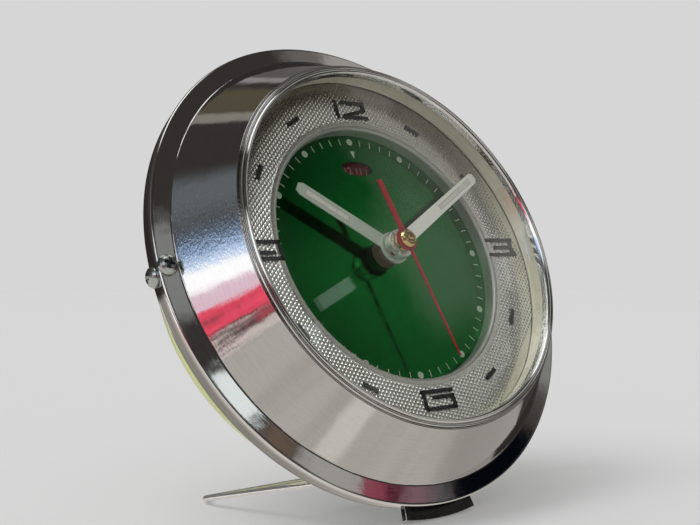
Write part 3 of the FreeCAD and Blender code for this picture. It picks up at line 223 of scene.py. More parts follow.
# %% Shared effect: fine lines that run round the clock
lines, given, found = new_group("turned_lines", [("Across", 9.0), ("Along", 3.0)], ["Value", "Height"])
flat = placed(lines, lies_flat)
wound = add(lines, "CombineXYZ")
for source, factor, slot in (("Angle", "Along", 0), ("Radius", "Across", 1), ("Height", "Across", 2)):
    feed(times(flat.outputs[source], given.outputs[factor]), wound.inputs[slot])
noise = add(lines, "TexNoise", Scale=1.0, Detail=3.0, Roughness=0.6, Vector=wound.outputs[0])
feed(spread(noise.outputs[0], 0.3, 0.7), found.inputs["Value"])
feed(noise.outputs[0], found.inputs["Height"])
print("group", lines.name)

# %% [markdown]
# ## Fine grain
#
# No metal or paint is quite even, and a close look finds it in the gloss.
# Noise on object coordinates gives a value for tone and roughness, and a
# height for bump, so one group serves every finish here.

# %% Shared effect: fine grain
grain, given, found = new_group("fine_grain", [("Scale", 900.0), ("Detail", 4.0)], ["Value", "Height"])
place = add(grain, "TexCoord").outputs["Object"]
noise = add(grain, "TexNoise", Roughness=0.6, Vector=place, Scale=given.outputs["Scale"],
            Detail=given.outputs["Detail"])
feed(spread(noise.outputs[0], 0.3, 0.7), found.inputs["Value"])
feed(noise.outputs[0], found.inputs["Height"])
print("group", grain.name)

# %% [markdown]
# ## Pits and dust
#
# Plating has pinholes and paint carries dust. Cells scattered through space
# are a simple way to place them: a share of the cells is chosen, and the
# middle of each chosen cell becomes one speck.

# %% Shared effect: pits and dust
specks, given, found = new_group("specks", [("Scale", 700.0), ("Share", 0.3), ("Size", 0.25)], ["Mask"])
place = add(specks, "TexCoord").outputs["Object"]
cells = add(specks, "TexVoronoi", Vector=place, Scale=given.outputs["Scale"])
tone = add(specks, "SeparateColor", Color=cells.outputs["Color"])
chosen = maths("LESS_THAN", tone.outputs[0], given.outputs["Share"])
near = maths("LESS_THAN", cells.outputs["Distance"], given.outputs["Size"])
feed(times(chosen, near), found.inputs["Mask"])
print("group", specks.name)

# %% [markdown]
# ## Bright edges: highlight and wear
#
# Edges that stand out are painted lighter. This is partly wear, where fingers and cloths rub a finish,
# and partly painted highlight, where light catches an edge. The pointiness of the surface finds such
# edges, and noise breaks the line up, since neither is even.

# %% Shared effect: edges painted bright, highlight and wear
lit_and_worn_edges, given, found = new_group("rubbed_edges", [("Amount", 1.0)], ["Mask"])
shape = add(lit_and_worn_edges, "NewGeometry")
place = add(lit_and_worn_edges, "TexCoord").outputs["Object"]
ragged = add(lit_and_worn_edges, "TexNoise", Scale=500.0, Detail=5.0, Vector=place)
sharp = spread(shape.outputs["Pointiness"], 0.51, 0.6)
broken = spread(ragged.outputs[0], 0.35, 0.65)
feed(times(sharp, broken, given.outputs["Amount"]), found.inputs["Mask"])
print("group", lit_and_worn_edges.name)

# %% [markdown]
# ## A metal, a paint and a plastic
#
# Most finishes here are one of three kinds. A metal has a colour, a
# roughness that drifts with its grain, darker pits, and a very small bump.
# A paint or plastic has dust in place of the pits, and a clear coat where it
# is glossy. All of them are one recipe, so one function holds it, and a
# function per kind fills in what its finishes share.

# %% Finish helpers
def start_material(name, **plain):
    """A material with its Principled shader, whose even values are set on its own sockets."""
    material = bpy.data.materials.new(name)
    material.use_nodes = True
    shader = material.node_tree.nodes["Principled BSDF"]
    for key, value in plain.items():
        shader.inputs[key.replace("_", " ")].default_value = value
    return material, material.node_tree, shader


def bump(shader, height, strength, distance=0.0002):
    lift = add(shader.id_data, "Bump", Strength=strength, Distance=distance, Height=height)
    feed(lift.outputs[0], shader.inputs["Normal"])


def recolour(material, mask, colour):
    """Lays a colour over the one that a finish has, by a mask."""
    end = material.node_tree.nodes["Principled BSDF"].inputs["Base Color"]
    feed(blend_colours(mask, end.links[0].from_socket, colour), end)


def roughen(material, more):
    """Adds to the roughness that a finish has."""
    end = material.node_tree.nodes["Principled BSDF"].inputs["Roughness"]
    feed(maths("ADD", end.links[0].from_socket, more), end)


def darker(colour, share):
    return tuple(c * share for c in colour)


def finish(name, low, high, rough, drift, scale, lift, **plain):
    """Two tones and a roughness that drift with the grain, and a small bump."""
    material, tree, shader = start_material(name, **plain)
    fine = placed(tree, grain, Scale=scale)
    feed(blend_colours(fine.outputs["Value"], low, high), shader.inputs["Base Color"])
    rough_ends = (rough - drift / 2, rough + drift / 2)
    feed(spread(fine.outputs["Value"], 0, 1, *rough_ends), shader.inputs["Roughness"])
    bump(shader, fine.outputs["Height"], lift)
    return material


def specked(material, colour, **values):
    """Adds specks of a colour, and gives their mask."""
    mask = placed(material.node_tree, specks, **values).outputs["Mask"]
    recolour(material, mask, colour)
    return mask


def metal(name, colour, rough, drift=0.08, scale=900, lift=0.05, pits=0.05, bright_edges=0.0, **plain):
    """A metal with grain, pits and, where asked, edges painted bright as highlight and wear."""
    made = finish(name, darker(colour, 0.93), colour, rough, drift, scale, lift,
                  **{"Metallic": 1.0, **plain})
    mask = specked(made, darker(colour, 0.55), Scale=900, Share=pits, Size=0.22)
    roughen(made, times(mask, 0.2))
    # Edges that stand out are painted bright: painted highlight and wear.
    if bright_edges:
        recolour(made, placed(made.node_tree, lit_and_worn_edges, Amount=bright_edges).outputs["Mask"], (0.8, 0.8, 0.78))
    return made


def coating(name, colour, rough, second=None, scale=300, lift=0.05, **plain):
    """A paint, ink or plastic with uneven tone and dust."""
    made = finish(name, second or darker(colour, 0.9), colour, rough, 0.08, scale, lift, **plain)
    specked(made, (0.5, 0.5, 0.48), Scale=1100, Share=0.02, Size=0.25)
    return made


print("finish helpers ready")

# %% [markdown]
# ## The chromed shell
#
# Bright chrome over pressed steel. Close up it has tiny pits, and the sheet under it isn't quite even,
# which breaks reflections into sparkle. The unevenness is a low, wide bump, and the sparkle a finer one.
# On the cone at nine o'clock there are also bluish-white specks, which are painted glints. The short
# skirt behind the rim is painted darker towards the case, which is painted shade. The corner between
# flange and skirt has a painted highlight line. Both are tints by height. Edges that stand out are
# painted a little lighter, which is painted highlight and wear.

# %% Finish: chrome
cone_foot_r = 58.2
skirt_top = -4.4
chrome, tree, shader = start_material("chromed_sheet", Metallic=1.0)
fine = placed(tree, grain, Scale=1500)
wide = placed(tree, grain, Scale=110, Detail=2)
polish = placed(tree, lines, Across=4, Along=16)
streaks = placed(tree, lines, Across=2.6, Along=60)
radius, angle, height = placed(tree, lies_flat).outputs
upward = maths("SINE", angle)
left_half = maths("LESS_THAN", maths("COSINE", angle), 0)
on_cone = spread(radius, cone_foot_r - 0.5, cone_foot_r, 1, 0)
at_nine = times(spread(upward, -0.09, 0.02), spread(upward, 0.16, 0.34, 1, 0))
# The zone on the cone at nine o'clock, where glints are painted and the bump is stronger.
glint_zone = times(at_nine, left_half, on_cone)
toned = blend_colours(polish.outputs["Value"], (0.6, 0.59, 0.575), (0.64, 0.635, 0.62))
feed(toned, shader.inputs["Base Color"])
feed(spread(polish.outputs["Value"], 0, 1, 0.03, 0.075), shader.inputs["Roughness"])
pits = specked(chrome, (0.48, 0.47, 0.46), Scale=2600, Share=0.04, Size=0.28)
roughen(chrome, times(pits, 0.1))
# Bluish-white specks in that zone are painted glints.
painted_glints = placed(tree, specks, Scale=1900, Share=0.22, Size=0.3).outputs["Mask"]
recolour(chrome, times(painted_glints, glint_zone), (0.86, 0.92, 0.98))
# The skirt is darker towards the case: painted shade.
recolour(chrome, spread(height, skirt_top - 1.5, skirt_top, 1, 0), (0.36, 0.35, 0.335))
# A thin bright band on the corner between flange and skirt: painted highlight.
corner = times(spread(height, skirt_top, skirt_top + 0.2), spread(radius, 62.7, 62.85))
recolour(chrome, corner, (0.9, 0.9, 0.89))
# Edges that stand out are painted lighter: painted highlight and wear.
recolour(chrome, placed(tree, lit_and_worn_edges, Amount=0.3).outputs["Mask"], (0.85, 0.85, 0.84))
uneven = [(wide, 1.2), (polish, 0.12), (fine, maths("ADD", times(glint_zone, 0.55), 0.05)),
          (streaks, times(glint_zone, 1.6))]
heights = [times(source.outputs["Height"], share) for source, share in uneven]
bump(shader, maths("ADD", *heights), 0.3, 0.00015)
print("finish", chrome.name)

# %% [markdown]
# ## The other metals
#
# The bezel is polished, the ring is silvered, the cap is brass, and the rest is nickel or steel. Each
# could have a node tree of its own, but they differ only in a few values, so a line for each is enough.
# The ring is painted darker and browner towards the top, and more so near its outer edge. This is a
# painted shade by angle and distance. Its lip is duller, so that it doesn't mirror the minute lines. The
# foot is painted near black as shade. On the foot and the screws, the edges that stand out are painted
# bright, which is painted highlight and wear.

# %% Finishes: the other metals
bezel_metal = metal("polished_bezel", (0.8, 0.8, 0.79), 0.07, drift=0.04, scale=600, lift=0.01)
knurl_metal = metal("silver_knurl", (0.84, 0.84, 0.8), 0.22, scale=1800, lift=0.02, pits=0.04,
                    Metallic=0.95)
brass = metal("turned_brass", (0.72, 0.5, 0.2), 0.26, drift=0.12, scale=1400, lift=0.1, pits=0.1)
cap_brass = metal("cap_brass", (0.8, 0.58, 0.22), 0.16, scale=1600)
steel = metal("ground_steel", (0.5, 0.51, 0.53), 0.3, drift=0.14, scale=1300, lift=0.12, pits=0.12)
spring_blue = metal("blued_spring", (0.16, 0.19, 0.3), 0.28, drift=0.1, scale=1000, pits=0.12)
nickel = metal("nickel_plate", (0.66, 0.64, 0.6), 0.16, pits=0.14)
wire_metal = metal("bright_wire", (0.96, 0.96, 0.95), 0.24, drift=0.06, scale=500, lift=0.01, pits=0,
                   Metallic=0.8)
# The foot's near-black colour is painted shade, and its bright edges are painted highlight and wear.
foot_shaded_metal = metal("foot_steel", (0.07, 0.07, 0.068), 0.26, drift=0.1, scale=1200, lift=0.04, pits=0.03,
                   bright_edges=0.5)
hub_metal = metal("hub_nickel", (0.82, 0.82, 0.76), 0.24, Metallic=0.6)
# Edges of the screw heads are painted bright: painted highlight and wear.
screw_metal = metal("screw_plate", (0.6, 0.65, 0.63), 0.26, scale=1200, lift=0.04, pits=0.06, bright_edges=1)


def tarnished(material, shade_colour, amount):
    """Paints shade on a metal or plastic towards the top of the clock, and more of it towards the outer
    edge.
    """
    radius, angle, _ = placed(material.node_tree, lies_flat).outputs
    top_side = spread(maths("SINE", angle), 0.2, 0.8)
    outer = spread(radius, 38.5, 44.0, amount * 0.15, amount)
    recolour(material, times(top_side, outer), shade_colour)


# The ring's top and outer edge get a painted shade.
tarnished(knurl_metal, (0.24, 0.225, 0.17), 0.9)
radius = placed(knurl_metal.node_tree, lies_flat).outputs["Radius"]
roughen(knurl_metal, spread(radius, 34.5, 35.0, 0.3, 0))
print("metals ready")

# %% [markdown]
# ## The green dial
#
# The dial is a green lacquer over bright foil, so it mirrors the hands and the hub. A green metal
# behaves like that: it has hardly any colour of its own and shows a green picture of what stands before
# it. It is painted a little darker near the ring than in the middle, which is a painted shade.

# %% Finishes: green dial
green = finish("green_foil", (0.004, 0.17, 0.028), (0.01, 0.21, 0.042), rough=0.14, drift=0.08,
               scale=420, lift=0.03, Metallic=1.0)
radius = placed(green.node_tree, lies_flat).outputs["Radius"]
# Darker towards the ring: painted shade.
recolour(green, spread(radius, 8.0, 34.0), (0.003, 0.14, 0.024))
specked(green, (0.1, 0.3, 0.14), Scale=900, Share=0.03, Size=0.22)
print("finish", green.name)

# %% [markdown]
# ## Paints, plastics and inks
#
# The rear case is lime enamel, the wall under the glass is ivory plastic, the hands have a pale satin
# plating that scatters light much like paint, and the marks are ink. The wall is painted darker towards
# the top as shade. The hour hand has a darker, greener copy of the plating, which is painted shade. The
# slot under the glow paint and the recess of each screw are painted dark as shade too. The case would
# throw a strong lime light on the table, so scattered rays meet it in a tone that is nearly grey.

# %% Finishes: paints, plastics and inks
lime = coating("lime_enamel", (0.84, 0.92, 0.41), 0.3, (0.8, 0.88, 0.38), scale=160, Coat_Weight=0.4)
rays = add(lime.node_tree, "LightPath")
recolour(lime, rays.outputs["Is Diffuse Ray"], (0.7, 0.7, 0.66))
ivory = coating("ivory_plastic", (0.9, 0.88, 0.7), 0.3, (0.84, 0.82, 0.63))
# The wall gets a painted shade towards the top.
tarnished(ivory, (0.5, 0.46, 0.36), 0.7)
hand_metal = coating("pale_nickel", (0.82, 0.83, 0.75), 0.36, (0.76, 0.77, 0.69), 1400, Metallic=0.2)
# The same plating, darker and greener for the hour hand: painted shade.
hour_plating_shaded = coating("pale_nickel_low", (0.5, 0.58, 0.48), 0.36, (0.44, 0.52, 0.42), 1400, Metallic=0.2)
ink = coating("black_ink", (0.012, 0.012, 0.012), 0.5, (0.02, 0.02, 0.02), 900)
red = coating("red_enamel", (0.36, 0.01, 0.02), 0.5, (0.28, 0.008, 0.015), Specular_IOR_Level=0.25)
dark_red = coating("alarm_red", (0.1, 0.006, 0.01), 0.35, (0.07, 0.004, 0.006))
pale_print = coating("pale_print", (0.42, 0.5, 0.38), 0.6, (0.34, 0.42, 0.3), 900)
faded_print = coating("faded_print", (0.4, 0.2, 0.19), 0.6, (0.3, 0.14, 0.13), 900)
bushing_metal = coating("dark_bushing", (0.13, 0.09, 0.06), 0.35, scale=1200)
# Edges that stand out are painted lighter: painted highlight and wear.
bushing_lit_worn_edges = placed(bushing_metal.node_tree, lit_and_worn_edges, Amount=0.4)
recolour(bushing_metal, bushing_lit_worn_edges.outputs["Mask"], (0.4, 0.3, 0.2))
# The slot's darker brown is painted shade at the recess edge.
slot_brown = coating("slot_brown", (0.42, 0.39, 0.3), 0.6, scale=1200)
# Near-black for the screws' cross recess: painted shade.
recess_dirt = coating("recess_dirt", (0.035, 0.045, 0.04), 0.5, scale=1500)
lume = coating("lume_paint", (0.66, 0.66, 0.58), 0.75, (0.5, 0.5, 0.44), 1500, lift=0.4)
print("paints ready")

# %% [markdown]
# ## Glass
#
# The crystal is clear, with a faint green cast. A solid of glass keeps
# daylight from what lies behind it, because shadow rays stop at it. Here
# shadow and scattered rays pass, and only rays that look at the glass meet
# its surface.

# %% Finish: glass
glass, tree, shader = start_material("clear_crystal", Transmission_Weight=1.0, Roughness=0.0, IOR=1.45,
                                     Base_Color=(0.985, 0.995, 0.985, 1))
rays = add(tree, "LightPath")
passes = maths("MAXIMUM", rays.outputs["Is Shadow Ray"], rays.outputs["Is Diffuse Ray"])
seen_through = mix_shaders(passes, shader, add(tree, "BsdfTransparent"))
feed(seen_through.outputs[0], tree.nodes["Material Output"].inputs["Surface"])
print("finish", glass.name)

# %% [markdown]
# ## Helpers for shapes
#
# Nearly everything round on a clock is a section turned about the middle, so
# one helper draws a section and spins it. Another rounds the sharp edges,
# which gives each metal edge the thin bright line that real ones have. The
# last one puts a finished mesh on the clock, names it, and says which CAD
# piece it stands for and which body it rides on.

# %% Shape helpers
def clean(work):
    bmesh.ops.remove_doubles(work, verts=work.verts, dist=1e-4)
    bmesh.ops.dissolve_degenerate(work, edges=work.edges, dist=1e-5)
    bmesh.ops.recalc_face_normals(work, faces=work.faces)


def soften(work, width, sharper_than=28.0, segments=3):
    """Rounds every edge that is sharper than an angle."""
    sharp = [e for e in work.edges if e.is_manifold and e.calc_face_angle() > math.radians(sharper_than)]
    bmesh.ops.bevel(work, geom=sharp, offset=width, offset_type="OFFSET", segments=segments, profile=0.5,
                    affect="EDGES", material=-1, clamp_overlap=True)
    return work


def closed_line(work, points):
    corners = [work.verts.new(point) for point in points]
    return corners, [work.edges.new((corners[i - 1], corners[i])) for i in range(len(corners))]


def spun(section, steps=192):
    """A closed section of (radius, height) points, spun about the clock's axis."""
    work = bmesh.new()
    corners, sides = closed_line(work, [(r, 0, z) for r, z in section])
    bmesh.ops.spin(work, geom=corners + sides, cent=(0, 0, 0), axis=(0, 0, 1), angle=math.tau,
                   steps=steps, use_merge=True)
    clean(work)
    return work


def moved(work, made, x=0, y=0, z=0):
    """Moves what an operator made: its vertices, or those of a whole mesh."""
    verts = [v for v in made if isinstance(v, bmesh.types.BMVert)]
    bmesh.ops.translate(work, verts=verts, vec=(x, y, z))
    return work


def thickened(work, depth):
    """Raises all the flat faces of a mesh into a solid."""
    risen = bmesh.ops.extrude_face_region(work, geom=work.faces[:])
    moved(work, risen["geom"], z=depth)
    bmesh.ops.recalc_face_normals(work, faces=work.faces)
    return work


def slab(outline, low, high):
    """A flat outline given thickness."""
    work = bmesh.new()
    work.faces.new([work.verts.new((x, y, low)) for x, y in outline])
    return thickened(work, high - low)


def box(left, right, front, back, low, high):
    return slab([(left, front), (right, front), (right, back), (left, back)], low, high)


def turned_to(work, degrees):
    """Turns a flat piece about the clock's axis, clockwise as the hands go."""
    bmesh.ops.rotate(work, verts=work.verts, matrix=Matrix.Rotation(-math.radians(degrees), 3, "Z"))
    return work


def absorb(work, mesh):
    """Takes a mesh into a bmesh, and deletes it."""
    work.from_mesh(mesh)
    bpy.data.meshes.remove(mesh)
    return work


def gathered(whole, *works):
    """Puts several meshes into the first one."""
    for work in works:
        absorb(whole, stored("spare", work))
    return whole


def stored(name, work):
    """Turns a bmesh into a mesh, and frees it."""
    mesh = bpy.data.meshes.new(name)
    work.to_mesh(mesh)
    work.free()
    return mesh


def shown(name, data):
    """An object in the scene."""
    made = bpy.data.objects.new(name, data)
    bpy.context.collection.objects.link(made)
    return made


def keep(name, work, material, replaces=(), body="clock_case", smooth=35.0, place=on_clock):
    """Makes the finished piece from its mesh, in place of the CAD nodes that it replaces."""
    bmesh.ops.transform(work, matrix=place, verts=work.verts)
    mesh = stored(name, work)
    piece = shown(name, mesh)
    mesh.materials.append(material)
    for face in mesh.polygons:
        face.use_smooth = True
    mesh.set_sharp_from_angle(angle=math.radians(smooth))
    even = piece.modifiers.new("even_shading", "WEIGHTED_NORMAL")
    even.keep_sharp = True
    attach(piece, body)
    if replaces:
        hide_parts(*replaces)
    print(name, len(mesh.polygons), "faces")
    return piece

# %% [markdown]
# ## The shell
#
# One pressed sheet: a lip that holds the glass, a broad cone, a flange round
# its foot and a short skirt behind. The real sheet has soft corners, and the
# corner between flange and skirt shows as a bright line all round.

# %% Front shell
shell = spun([
    (47.0, 10.0), (48.55, 10.0), (48.55, 10.7), (48.95, 10.7), (58.0, -2.61), (58.14, -2.8),
    (58.34, -2.9), (58.6, -2.967), (62.2, -3.567), (62.62, -3.6), (62.9, -3.78), (63.0, -4.1),
    (62.4, -7.8), (62.5, -8.2), (62.3, -8.4), (61.7, -8.4), (62.35, -4.4), (61.5, -4.25),
    (58.0, -3.67), (48.85, 9.4), (47.0, 9.4)], steps=256)
soften(shell, 0.14, sharper_than=9)
keep("shell_sheet", shell, chrome, ["front_shell"])

# %% [markdown]
# ## The bezel
#
# A turned ring with two ridges holds the glass down. Its section is spun
# and its corners are rounded, because the ridges are what draws the thin
# bright lines round the glass.

# %% Bezel
bezel = spun([
    (46.4, 9.4), (46.95, 9.4), (46.95, 10.0), (48.5, 10.0), (48.5, 11.15), (48.42, 11.4), (48.2, 11.5),
    (47.95, 11.4), (47.8, 11.15), (47.7, 11.15), (47.55, 11.5), (47.25, 11.72), (46.95, 11.7),
    (46.65, 11.45), (46.45, 11.0), (46.4, 10.8)], steps=256)
soften(bezel, 0.06, sharper_than=25)
keep("bezel_ring", bezel, bezel_metal, ["front_bezel"])

# %% [markdown]
# ## The crystal
#
# A domed glass with a flat rim. Its section is an arc, so a point is spun
# along each arc first, and the whole section is then spun about the axis.
# Smooth faces matter here, because glass shows every facet.

# %% Crystal
dome_r = 46.2
glass_r = 47.9


def dome(work, edge_z, top_z):
    """The section of a dome, made by spinning its middle point out to its edge."""
    rise = top_z - edge_z
    ball = (dome_r ** 2 + rise ** 2) / (2 * rise)
    top = work.verts.new((0, 0, top_z))
    bmesh.ops.spin(work, geom=[top], cent=(0, 0, top_z - ball), axis=(0, 1, 0),
                   angle=math.asin(dome_r / ball), steps=24)


crystal = bmesh.new()
dome(crystal, 9.4, 13.8)
dome(crystal, 7.8, 12.4)
flat_rim = ((dome_r, 9.4), (glass_r, 9.4), (glass_r, 7.8), (dome_r, 7.8))
edge = [crystal.verts.new((r, 0, z)) for r, z in flat_rim]
for pair in zip(edge, edge[1:]):
    crystal.edges.new(pair)
bmesh.ops.remove_doubles(crystal, verts=crystal.verts, dist=1e-3)
bmesh.ops.spin(crystal, geom=crystal.verts[:] + crystal.edges[:], cent=(0, 0, 0), axis=(0, 0, 1),
               angle=math.tau, steps=192, use_merge=True)
clean(crystal)
keep("domed_crystal", crystal, glass, ["crystal"], smooth=50)

# %% [markdown]
# ## The wall under the glass
#
# A short ivory tube stands between the glass and the chapter ring. It is a
# plain section, spun, and its corners are softened so that they catch light.

# %% Inner wall
seat_r = 48.3
wall_r = 47.4
wall_low, wall_high = 3.7, 7.8
wall = spun([(wall_r, wall_low), (seat_r, wall_low), (seat_r, wall_high), (wall_r, wall_high)])
soften(wall, 0.12)
keep("ivory_wall", wall, ivory, ["inner_wall_ring"])

# %% [markdown]
# ## The chapter ring
#
# A silvered ring with a smooth raised band at its inner edge, which falls to
# the dial. One spun section gives the whole profile, so the band and the
# ring are one piece, as they are when such a ring is pressed.

# %% Chapter ring and its smooth band
band = spun([
    (34.0, 0.0), (34.5, 0.0), (34.5, 2.8), (34.9, 3.2), (47.8, 3.2), (47.8, 0.0), (seat_r, 0.0),
    (seat_r, 3.5), (36.15, 3.5), (36.0, 3.74), (34.9, 3.74), (34.3, 3.5), (34.0, 2.9)])
soften(band, 0.12, sharper_than=20)
keep("chapter_band", band, knurl_metal, ["chapter_ring"])

# %% [markdown]
# ## The knurl
#
# The face of the ring is pressed into small pips on a six-sided lattice.
# They could be bump in a material, but each pip has a lit and a shaded
# side, so they are real. A grid is sheared until its cells are rhombi, what
# lies outside the ring is deleted, and each cell is poked up into a pip.

# %% Knurl
pip_step = 1.08
pip_rows = 96
pip_height = 0.32
pip_turn = 44
field_inner_r, field_outer_r, field_z = 35.3, 47.75, 3.4
knurl = bmesh.new()
bmesh.ops.create_grid(knurl, x_segments=pip_rows, y_segments=pip_rows, size=pip_rows * pip_step / 2)
shear = Matrix.Identity(4)
shear[0][1] = math.cos(math.radians(60))
shear[1][1] = math.sin(math.radians(60))
bmesh.ops.transform(knurl, matrix=Matrix.Rotation(math.radians(pip_turn), 4, "Z") @ shear,
                    verts=knurl.verts)
outside = [f for f in knurl.faces
           if not field_inner_r < f.calc_center_median().length < field_outer_r]
bmesh.ops.delete(knurl, geom=outside, context="FACES")
bmesh.ops.poke(knurl, faces=knurl.faces[:], offset=pip_height)
moved(knurl, knurl.verts, z=field_z)
down = bmesh.ops.extrude_edge_only(knurl, edges=[e for e in knurl.edges if e.is_boundary])
moved(knurl, down["geom"], z=-0.2)
bmesh.ops.recalc_face_normals(knurl, faces=knurl.faces)
keep("knurled_field", knurl, knurl_metal, smooth=12)

# %% [markdown]
# ## Figures and bars
#
# The figures are wide and square, printed in black. Each is a few straight
# strokes, and a slanted stroke is made like an upright one, from its two
# ends and its width.

# %% Figures on the ring
figure_r = 39.6
bar_r = 40.2
pen = 0.92
half_w, half_h = 10.3 / 2, 5.15 / 2
ink_low, ink_high = 3.45, 3.88


def stroke(start, end, width, low, high):
    """A straight stroke between two points."""
    first, last = Vector(start), Vector(end)
    run = last - first
    side = Vector((-run.y, run.x)).normalized() * width / 2
    return slab([first - side, last - side, last + side, first + side], low, high)


top_y = half_h - pen / 2
edge_x = half_w - pen / 2
inner_y = half_h - pen - 1.05
low_bar = ((-half_w, -top_y), (half_w, -top_y))
top_bar = ((-half_w, top_y), (half_w, top_y))
twelve = [((-4.55, -half_h), (-4.55, half_h)), ((-2.6, top_y), (5.2, top_y)),
          ((4.78, half_h), (4.78, 0)), ((5.1, 0.25), (-2.8, -1.95)), ((-3.1, -top_y), (5.5, -top_y))]
three = [top_bar, low_bar, ((-2.6, 0), (3.9, 0)), ((4.75, half_h), (3.85, 0)),
         ((4.75, -half_h), (3.85, 0))]
six = [top_bar, ((-edge_x, -half_h), (-edge_x, half_h)), low_bar,
       ((edge_x, -half_h), (edge_x, inner_y + 0.35))]
nine = [((-a, -b), (-c, -d)) for (a, b), (c, d) in six]
six.append(((-2.2, inner_y), (half_w, inner_y)))
nine.append(((-half_w, -inner_y), (3.3, -inner_y)))
strokes = []
figures = ((twelve, 0, figure_r), (three, figure_r, 0), (six, 0, -figure_r), (nine, -figure_r, 0))
for figure, x, y in figures:
    for start, end in figure:
        mark = stroke(start, end, pen, ink_low, ink_high)
        strokes.append(moved(mark, mark.verts, x, y))
for hour in (1, 2, 4, 5, 7, 8, 10, 11):
    strokes.append(turned_to(stroke((-2.25, bar_r), (2.25, bar_r), 1.1, ink_low, ink_high), 30 * hour))
keep("ring_figures", gathered(*strokes), ink, ["chapter_markings"])

# %% [markdown]
# ## The dial
#
# A thin disc with a hole for the pipes and an oval window for the alarm.
# Its outlines are circles, one of them squeezed, and a triangle fill spans
# the sheet between them. Minute lines, dots and the small arrow are a film
# of pale paint on top.

# %% Dial plate
bush_r = 3.3
window_y, window_half_w, window_half_h = 24.4, 5.15, 2.1
plate_thick = 0.6
feet_r = 33.5
dial = bmesh.new()
bmesh.ops.create_circle(dial, segments=192, radius=seat_r)
bmesh.ops.create_circle(dial, segments=64, radius=bush_r)
window = bmesh.ops.create_circle(dial, segments=72, radius=1.0)["verts"]
bmesh.ops.scale(dial, verts=window, vec=(window_half_w, window_half_h, 1))
moved(dial, window, y=window_y)
bmesh.ops.triangle_fill(dial, use_beauty=True, edges=dial.edges[:])
bmesh.ops.recalc_face_normals(dial, faces=dial.faces)
if dial.faces[:][0].normal.z < 0:
    bmesh.ops.reverse_faces(dial, faces=dial.faces)
bmesh.ops.solidify(dial, geom=dial.faces[:], thickness=plate_thick)
bmesh.ops.recalc_face_normals(dial, faces=dial.faces)
moved(dial, dial.verts, z=-max(v.co.z for v in dial.verts))
feet = []
for angle in (45, 140, 240):
    foot = spun([(0, -6.0), (1.6, -6.0), (1.6, -0.55), (0, -0.55)], steps=24)
    x, y = feet_r * math.cos(math.radians(angle)), feet_r * math.sin(math.radians(angle))
    feet.append(moved(foot, foot.verts, x, y))
keep("dial_sheet", gathered(dial, *feet), green, ["dial_plate"], smooth=30)

# %% [markdown]
# ## Prints on the dial
#
# Minute lines, dots and a small arrow are printed in pale paint. Each is a
# thin sheet that lies on the dial, which keeps its edge crisp at any
# distance. One mark is drawn at twelve o'clock and turned to its minute.

# %% Prints on the dial
tick_inner_r, tick_outer_r, tick_w = 31.3, 33.1, 0.24
paint = 0.04
prints = []
for minute in range(60):
    if minute % 5:
        mark = stroke((0, tick_inner_r), (0, tick_outer_r), tick_w, 0.0, paint)
    else:
        mark = bmesh.new()
        bmesh.ops.create_cone(mark, cap_ends=True, segments=24, radius1=0.95, radius2=0.9, depth=0.06)
        moved(mark, mark.verts, y=(tick_inner_r + tick_outer_r) / 2, z=0.02)
    prints.append(turned_to(mark, 6 * minute))
prints.append(slab([(-0.7, 29.5), (0, 27.4), (0.7, 29.5)], 0.0, paint))
keep("dial_prints", gathered(*prints), pale_print)

# %% [markdown]
# ## The alarm disc
#
# A dark red disc turns behind the dial, and its hours pass the oval window.
# Its figures are small and plain, so they are set as text and made a flat
# mesh, where the ring's wide figures needed strokes of their own.

# %% Alarm disc
disc_face = -1.2
disc = spun([(3.2, -1.6), (28.5, -1.6), (28.5, disc_face), (3.2, disc_face)], steps=128)
soften(disc, 0.05)
keep("alarm_disc_sheet", disc, dark_red, ["alarm_disc"], body="alarm_disc_group")


def from_curve(curve):
    """Makes a curve or a text a mesh to work on."""
    holder = shown("holder", curve)
    bpy.context.view_layer.update()
    work = absorb(bmesh.new(), bpy.data.meshes.new_from_object(holder))
    bpy.data.objects.remove(holder)
    bpy.data.curves.remove(curve)
    return work


def figure_text(text, size, thick):
    """Plain figures in the dial's plane."""
    curve = bpy.data.curves.new("figure", "FONT")
    curve.body, curve.size, curve.extrude = text, size, thick / 2
    curve.align_x = curve.align_y = "CENTER"
    return from_curve(curve)


set_back = 5.6
hours_r = 24.3
alarm_marks = []
for hour in range(1, 13):
    angle = 30 * hour - set_back
    figure = figure_text(str(hour), 2.9, 0.06)
    moved(figure, figure.verts, y=hours_r, z=disc_face + 0.03)
    alarm_marks.append(turned_to(figure, angle))
    for step in (7.2, 10.3, 15.0, 19.0):
        mark = stroke((0, hours_r - 1), (0, hours_r + 1), 0.22, disc_face, disc_face + 0.05)
        alarm_marks.append(turned_to(mark, angle + step))
keep("alarm_figures", gathered(*alarm_marks), faded_print, body="alarm_disc_group")

# %% [markdown]
# ## Hands
#
# The pipes that carry the hands come up through a dark bushing in the dial's
# middle. A blade is an outline given thickness. The hub of the minute hand is
# an outline too, a circle with a notch, with a bore that a triangle fill
# leaves open.

# %% Bushing and outlines
bushing = spun([(2.85, -0.6), (bush_r, -0.6), (bush_r, 0), (3.65, 0), (3.65, 2.7), (3.35, 3.0),
                (2.85, 3.0)], steps=96)
soften(bushing, 0.08)
keep("dial_bush", bushing, bushing_metal, ["dial_bushing"])


def holed(outline, bore, low, high):
    """An outline with a round bore, given thickness."""
    work = bmesh.new()
    closed_line(work, [(x, y, low) for x, y in outline])
    moved(work, bmesh.ops.create_circle(work, segments=64, radius=bore)["verts"], z=low)
    bmesh.ops.triangle_fill(work, use_beauty=True, edges=work.edges[:])
    return thickened(work, high - low)


